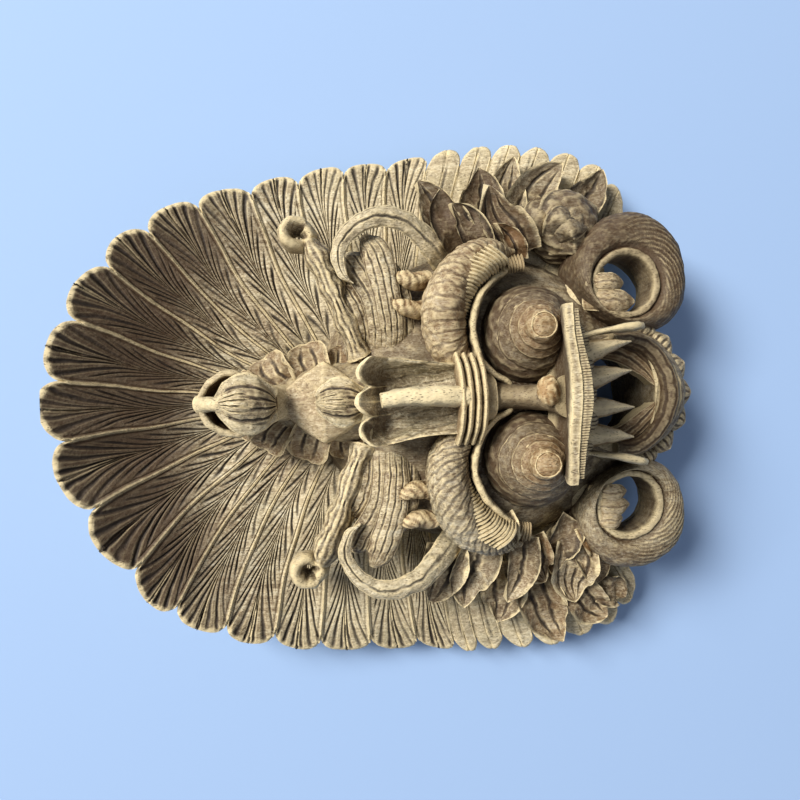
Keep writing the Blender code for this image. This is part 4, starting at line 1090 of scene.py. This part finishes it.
for k, (root, tip, width, flutes, soil_and_shade, ruddy) in enumerate(CHEEK_LEAVES):
    root, tip = np.array(root, float), np.array(tip, float)
    bend = unit(np.cross(tip - root, (0, 0, 1))) * 3.0 * (-1) ** k
    third, two_thirds = (root * 2 + tip) / 3, (root + tip * 2) / 3
    spine = (root - (0, 0, 4), third + bend * 0.6 + (0, 0, 1), two_thirds + bend - (0, 0, 2), tip)
    # Painted shade: each leaf is darker in its hollow, and its rims are paler
    leaf(leaves, spine, width * 1.12, CHEEK_LEAF, thick=14, cup=0.5, rim=0.6, flutes=flutes, cut=1.2,
         size=(46, LEAF_COLUMNS), undercut=0.3, ruddy=ruddy,
         worn=soil_and_shade - (0.5 if root[0] > 0 else 0.3) + (0.6 - soil_and_shade) * edge)
right_bud = smoothed(((20, 26), (22, 44), (22, 54), (18.5, 64), (12, 70.5), (5, 72.5), (0.5, 72)), 60)
left_bud = smoothed(((15, 26), (16, 44), (15, 54), (11, 62), (5, 65), (0.5, 65)), 40)
turned_piece(leaves, right_bud, (109, -108, 0), (0.05, -0.03, 1), 80, wobble=0.03, worn=-0.8)
for tip_x, tip_y, lift, width in BUD_LEAVES:
    spine = ((97, -98, 57), ((98 + tip_x) / 2, (-90 + tip_y) / 2, 75 + lift), (tip_x, tip_y, 60 + lift * 2))
    leaf(leaves, spine, width, BUD_LEAF, thick=16, cup=-0.4, rim=0.8, flutes=1, cut=0.9, size=(40, 29),
         undercut=0.6, worn=-0.75)
turned_piece(leaves, left_bud, (-99, -110, 0), sides=60, wobble=0.03, worn=-0.4)
carved("cheek_leaves", leaves, Cut_share=0.4, Wander=0.45, Unevenness=0.0008, Gouge_depth=0.0014)

# %% [markdown]
# Two flat horns spring from the outer ends of the brows and curl back over fluted tufts of
# hair. Behind them a leafy stem runs out to a curled knob with a hole through its scroll.

# %% Horns, tufts and scrolls
HORN = (
    (84, -36, 62), (94, -24, 76), (107, -8, 84), (111, 10, 88), (104, 26, 90), (90, 35, 91), (77, 33, 90),
    (71, 26, 88),
)
HORN_SHAPE = ((0, 1.35), (0.3, 0.98), (0.6, 0.76), (0.85, 0.45), (1, 0.02))
TUFTS = (
    # spine, half width, flutes
    (((28, 24, 68), (44, 25, 75), (60, 30, 77), (73, 37, 72)), 8.5, 4),
    (((28, 12, 70), (46, 12, 79), (66, 15, 82), (86, 27, 80), (93, 31, 76)), 7.5, 3),
    (((30, -4, 70), (48, -3, 77), (68, 0, 79), (86, 7, 77)), 7.0, 3),
    (((28, 4, 71), (48, 4, 82), (70, 7, 85), (90, 13, 84), (102, 20, 79)), 8.0, 4),
)
TUFT_SHAPE = ((0, 0.75), (0.4, 0.95), (0.75, 1.0), (0.92, 0.75), (1, 0.25))
TUFT_COLUMNS = 49
STEM = ((30, 24, 60), (52, 33, 66), (76, 42, 68), (100, 53, 68))
STEM_WIDTH = ((0, 10), (0.22, 7), (0.3, 8.8), (0.5, 6), (0.58, 8.6), (0.75, 7), (0.88, 9), (1, 5))
horns = Shells()
# Painted shadow: each tuft is darker along both its edges, where the gaps between tufts lie
tuft_shadow = eased((np.abs(np.linspace(-1, 1, TUFT_COLUMNS)) - 0.8) * 7)
scroll = arc((104, 61), (7.0, 7.0), (-100, -60, -10, 40, 90, 140, 190, 240), (63, 65, 67, 70, 72, 72, 71, 70))
for side in (-1, 1):
    spread = 1.0 if side > 0 else 1.03
    horn = mirrored([(x * spread, y, z) for x, y, z in HORN], side)
    leaf(horns, horn, 6.6, HORN_SHAPE, thick=7, cup=-0.45, rim=0.5, flutes=2, cut=0.9, size=(100, 33),
         undercut=0.45, worn=0.3)
    for points, width, flutes in TUFTS:
        leaf(horns, mirrored(points, side), width * 1.1, TUFT_SHAPE, thick=22, cup=-0.3, flutes=flutes,
             cut=0.8, size=(64, TUFT_COLUMNS), undercut=0.8, worn=-0.1 - 0.8 * tuft_shadow)
    limb(horns, mirrored(STEM, side), STEM_WIDTH, (16, 15, 13), 80, 52, strands=13, cut=1.2)
    limb(horns, mirrored(scroll, side), ((0, 5.5), (0.6, 4.6), (0.9, 3.6), (1, 2)),
         ((0, 16), (0.7, 10), (1, 6)), 60, 24, worn=-0.2)
carved("horns_and_tufts", horns, Cut_share=0.38, Wander=0.6, Unevenness=0.0009, Gouge_depth=0.0014)

# %% [markdown]
# Down the forehead runs the ornament: a budding topknot that rests in a turned cup with a
# bridge over its mouth, a stippled lozenge with a second bud, and a scooped panel parted by a
# bright keel. Small cupped leaves ring its foot.

# %% Forehead ornament
BUD_OUTLINE = (
    (-0.5, 0.30), (-0.36, 0.78), (-0.12, 1.0), (0.14, 0.98), (0.34, 0.74), (0.46, 0.36), (0.5, 0.05)
)
SEPAL = ((0, 0.6), (0.4, 1.0), (0.75, 0.72), (0.93, 0.28), (1, 0.04))
SEPAL_SPINE = ((0.3, -0.5, 0.2), (0.62, -0.16, 0.95), (0.64, 0.14, 1.0), (0.26, 0.50, 0.5))
SEPAL_ROWS = 40
LOZENGE = ((1.0, 60), (1.03, 70), (1.03, 77), (0.98, 80.5), (0.85, 82.5), (0.6, 85), (0.3, 87.3), (0.03, 88))
CUP = (
    (3, -26), (10, -22), (15.5, -12), (18.6, 0), (19.8, 8), (19.7, 11), (18.6, 12.2), (16.8, 12.0),
    (15.8, 10), (15.2, 5), (13.6, -3), (8, -11), (0.4, -13),
)
CUP_ROWS, CUP_OUTSIDE = 60, 39


def panel(shells):
    """A scooped panel. Its crown end rises in three lobes whose thin rims are rubbed white."""
    t = np.linspace(0, 1, 110)[:, None]
    s = np.linspace(-1, 1, 111)[None, :]
    out = np.abs(s)
    half = keyed(((0, 20), (0.5, 22), (0.8, 24.5), (1, 25)), t)
    lobe = (7.0 + 2.0 * np.cos(s * 1.5)) * np.abs(np.cos(s * 1.5 * math.pi)) ** 0.7 * t**5
    curl = 15 * eased((t - 0.80) / 0.2) - 3.0 * eased((t - 0.97) / 0.03)
    lift = 7 * out**5 * (1 - 0.4 * t)
    bowl = np.abs(np.sin(math.pi * np.clip(out * 1.08, 0, 1))) ** 0.8
    scoop = -11 * bowl * np.sin(math.pi * np.clip(t * 1.02, 0, 1)) ** 0.6
    cleft = -5.0 * bump(out, 0.36, 0.07) * eased((t - 0.8) * 6)
    level = 96 + curl + lift + scoop + cleft
    top = np.stack(np.broadcast_arrays(half * s, -36 + 52 * t + lobe, level), axis=-1)
    foot = (half * s[:, [0, -1]] * 0.84, np.minimum(-36 + 54 * t, -30 + 42 * t), 70 - 4 * t)
    bottom = np.stack(np.broadcast_arrays(*foot), axis=-1)
    rim = eased((t - 0.955) * 40)
    # The scoop is darker where it deepens towards the crown end, and its middle is paler
    inner = 0.05 - 0.75 * bowl * eased((t - 0.68) * 6) + 0.5 * eased(1.4 - out * 5) * t**2
    lightness = 0.9 * rim + 0.3 * eased((out - 0.93) * 20) + (1 - rim) * inner
    shells.slab(top, bottom, phase=s * 4 + t * 2, depth=0.4 * eased((1 - t) * 3) * eased(t * 6), worn=lightness)


def bud(shells, centre, length, radius, tilt):
    """A closed bud: a round core under three pointed sepals, whose tips lie towards the crown."""
    core = smoothed(BUD_OUTLINE, 60)[:, ::-1] * (radius, length)
    turned_piece(shells, core, centre, (0, 1, tilt), 98, wobble=0.01, petals=14, cut=1.3, worn=-0.7)
    tone = keyed(((0, -0.7), (0.4, -0.4), (0.7, 0.2), (1, 0.4)), np.linspace(0, 1, SEPAL_ROWS))[:, None]
    x, y, z = centre
    for way, width, lift in ((-1, 0.50, 0.66), (1, 0.50, 0.66), (0, 0.58, 1.04)):
        spine = [
            (x + way * radius * across, y + length * along, z + radius * lift * high + length * along * tilt)
            for across, along, high in SEPAL_SPINE
        ]
        leaf(shells, spine, radius * width, SEPAL, thick=radius * 0.5, cup=-0.45, rim=0.3,
             flutes=0 if way else 5, cut=3.0, size=(SEPAL_ROWS, 21 if way else 61), undercut=0.6,
             worn=0.3 if way else tone)


def lozenge(shells):
    """The stippled lozenge under the second bud, tilted a little towards the crown."""
    angle = 2 * math.pi * np.arange(96) / 96
    c, s = np.cos(angle), np.sin(angle)
    reach = 1 / (np.abs(c) ** 1.1 + np.abs(s) ** 1.1) ** (1 / 1.1)
    levels = [
        np.stack([25 * share * reach * c, 46 + 34 * share * reach * s, z - 3.4 * s], axis=-1)
        for share, z in smoothed(LOZENGE, 24)
    ]
    shells.loft(np.stack(levels), worn=0.15, ruddy=0.25)


ornament = Shells()
panel(ornament)
limb(ornament, ((1, -36, 99), (1, -20, 104), (1.5, 0, 106), (0.5, 10, 107)),
     ((0, 6.4), (0.35, 5.6), (0.8, 4.4), (1, 4.0)), (12, 10, 7), 60, 20, 0.6, worn=0.9)
lozenge(ornament)
bud(ornament, (0, 35, 88), 31, 13.0, 0.0)
bud(ornament, (0, 90, 94), 34, 15.5, 0.12)
limb(ornament, ((0, 62, 58), (0, 76, 72), (0, 84, 86)), (13, 10), (14, 9), 20, 20)
# Painted shade: the cup is dark inside, and its outside is pale
turned_piece(ornament, smoothed(CUP, CUP_ROWS), (0, 100, 84), (0, -0.14, 1), 88, wobble=0.016, ruddy=0.15,
             worn=np.where(np.arange(CUP_ROWS) < CUP_OUTSIDE, 0.3, -1.0)[:, None])
limb(ornament, ((0, 98, 100), (0, 108, 100), (0, 118, 95)), (8, 4.2, 5.5), (6, 4), 24, 20, worn=0.35)
for side in (-1, 1):
    for x, y, width in ((19, 104, 8), (30, 88, 13), (38, 61, 13), (37, 36, 11)):
        spine = mirrored(((x * 0.2, y * 0.7 + 6, 62), (x * 0.6, y * 0.9 + 1, 67), (x, y, 58)), side)
        leaf(ornament, spine, width, ROUNDED, thick=16, cup=0.35, rim=0.7, flutes=3, cut=1.1, size=(34, 37),
             undercut=0.7, worn=-0.45, ruddy=0.2)
carved("forehead_ornament", ornament, Cut_share=0.35, Gouge_depth=0.0012, Unevenness=0.0007)

# %% [markdown]
# The mask lies on a pale blue sheet, and a plain floor of that colour stands in for it. Soft
# light comes down from the crown's side, as from a window, so the steep top of the crown stays
# dark while the feathers at its sides are bright.

# %% Floor and light
floor_material = bpy.data.materials.new("pale sheet")
floor_material.use_nodes = True
floor_shader = floor_material.node_tree.nodes["Principled BSDF"]
floor_shader.inputs["Base Color"].default_value = linear("#98B4DD")
floor_shader.inputs["Roughness"].default_value = 0.9
floor_mesh = bpy.data.meshes.new("floor")
floor_mesh.from_pydata([(-3, -3, 0), (3, -3, 0), (3, 3, 0), (-3, 3, 0)], [], [(0, 1, 2, 3)])
floor_mesh.materials.append(floor_material)
floor = bpy.data.objects.new("floor", floor_mesh)
bpy.context.scene.collection.objects.link(floor)


def soft_light(name, place, watts, size, colour):
    light = bpy.data.lights.new(name, "AREA")
    light.energy, light.size = watts, size
    light.color = linear(colour)[:3]
    obj = bpy.data.objects.new(name, light)
    obj.location = place
    obj.rotation_euler = (-Vector(place)).to_track_quat("-Z", "Y").to_euler()
    bpy.context.scene.collection.objects.link(obj)


soft_light("window", (2.0, 3.2, 4.0), 520.0, 2.2, "#FFFAF0")
soft_light("room", (-1.2, -0.6, 2.4), 10.0, 2.0, "#EEF3FF")
world = bpy.data.worlds.new("room")
world.use_nodes = True
world.node_tree.nodes["Background"].inputs["Color"].default_value = linear("#E4EBF7")
world.node_tree.nodes["Background"].inputs["Strength"].default_value = 0.17
bpy.context.scene.world = world
bpy.context.scene.view_settings.view_transform = "Standard"
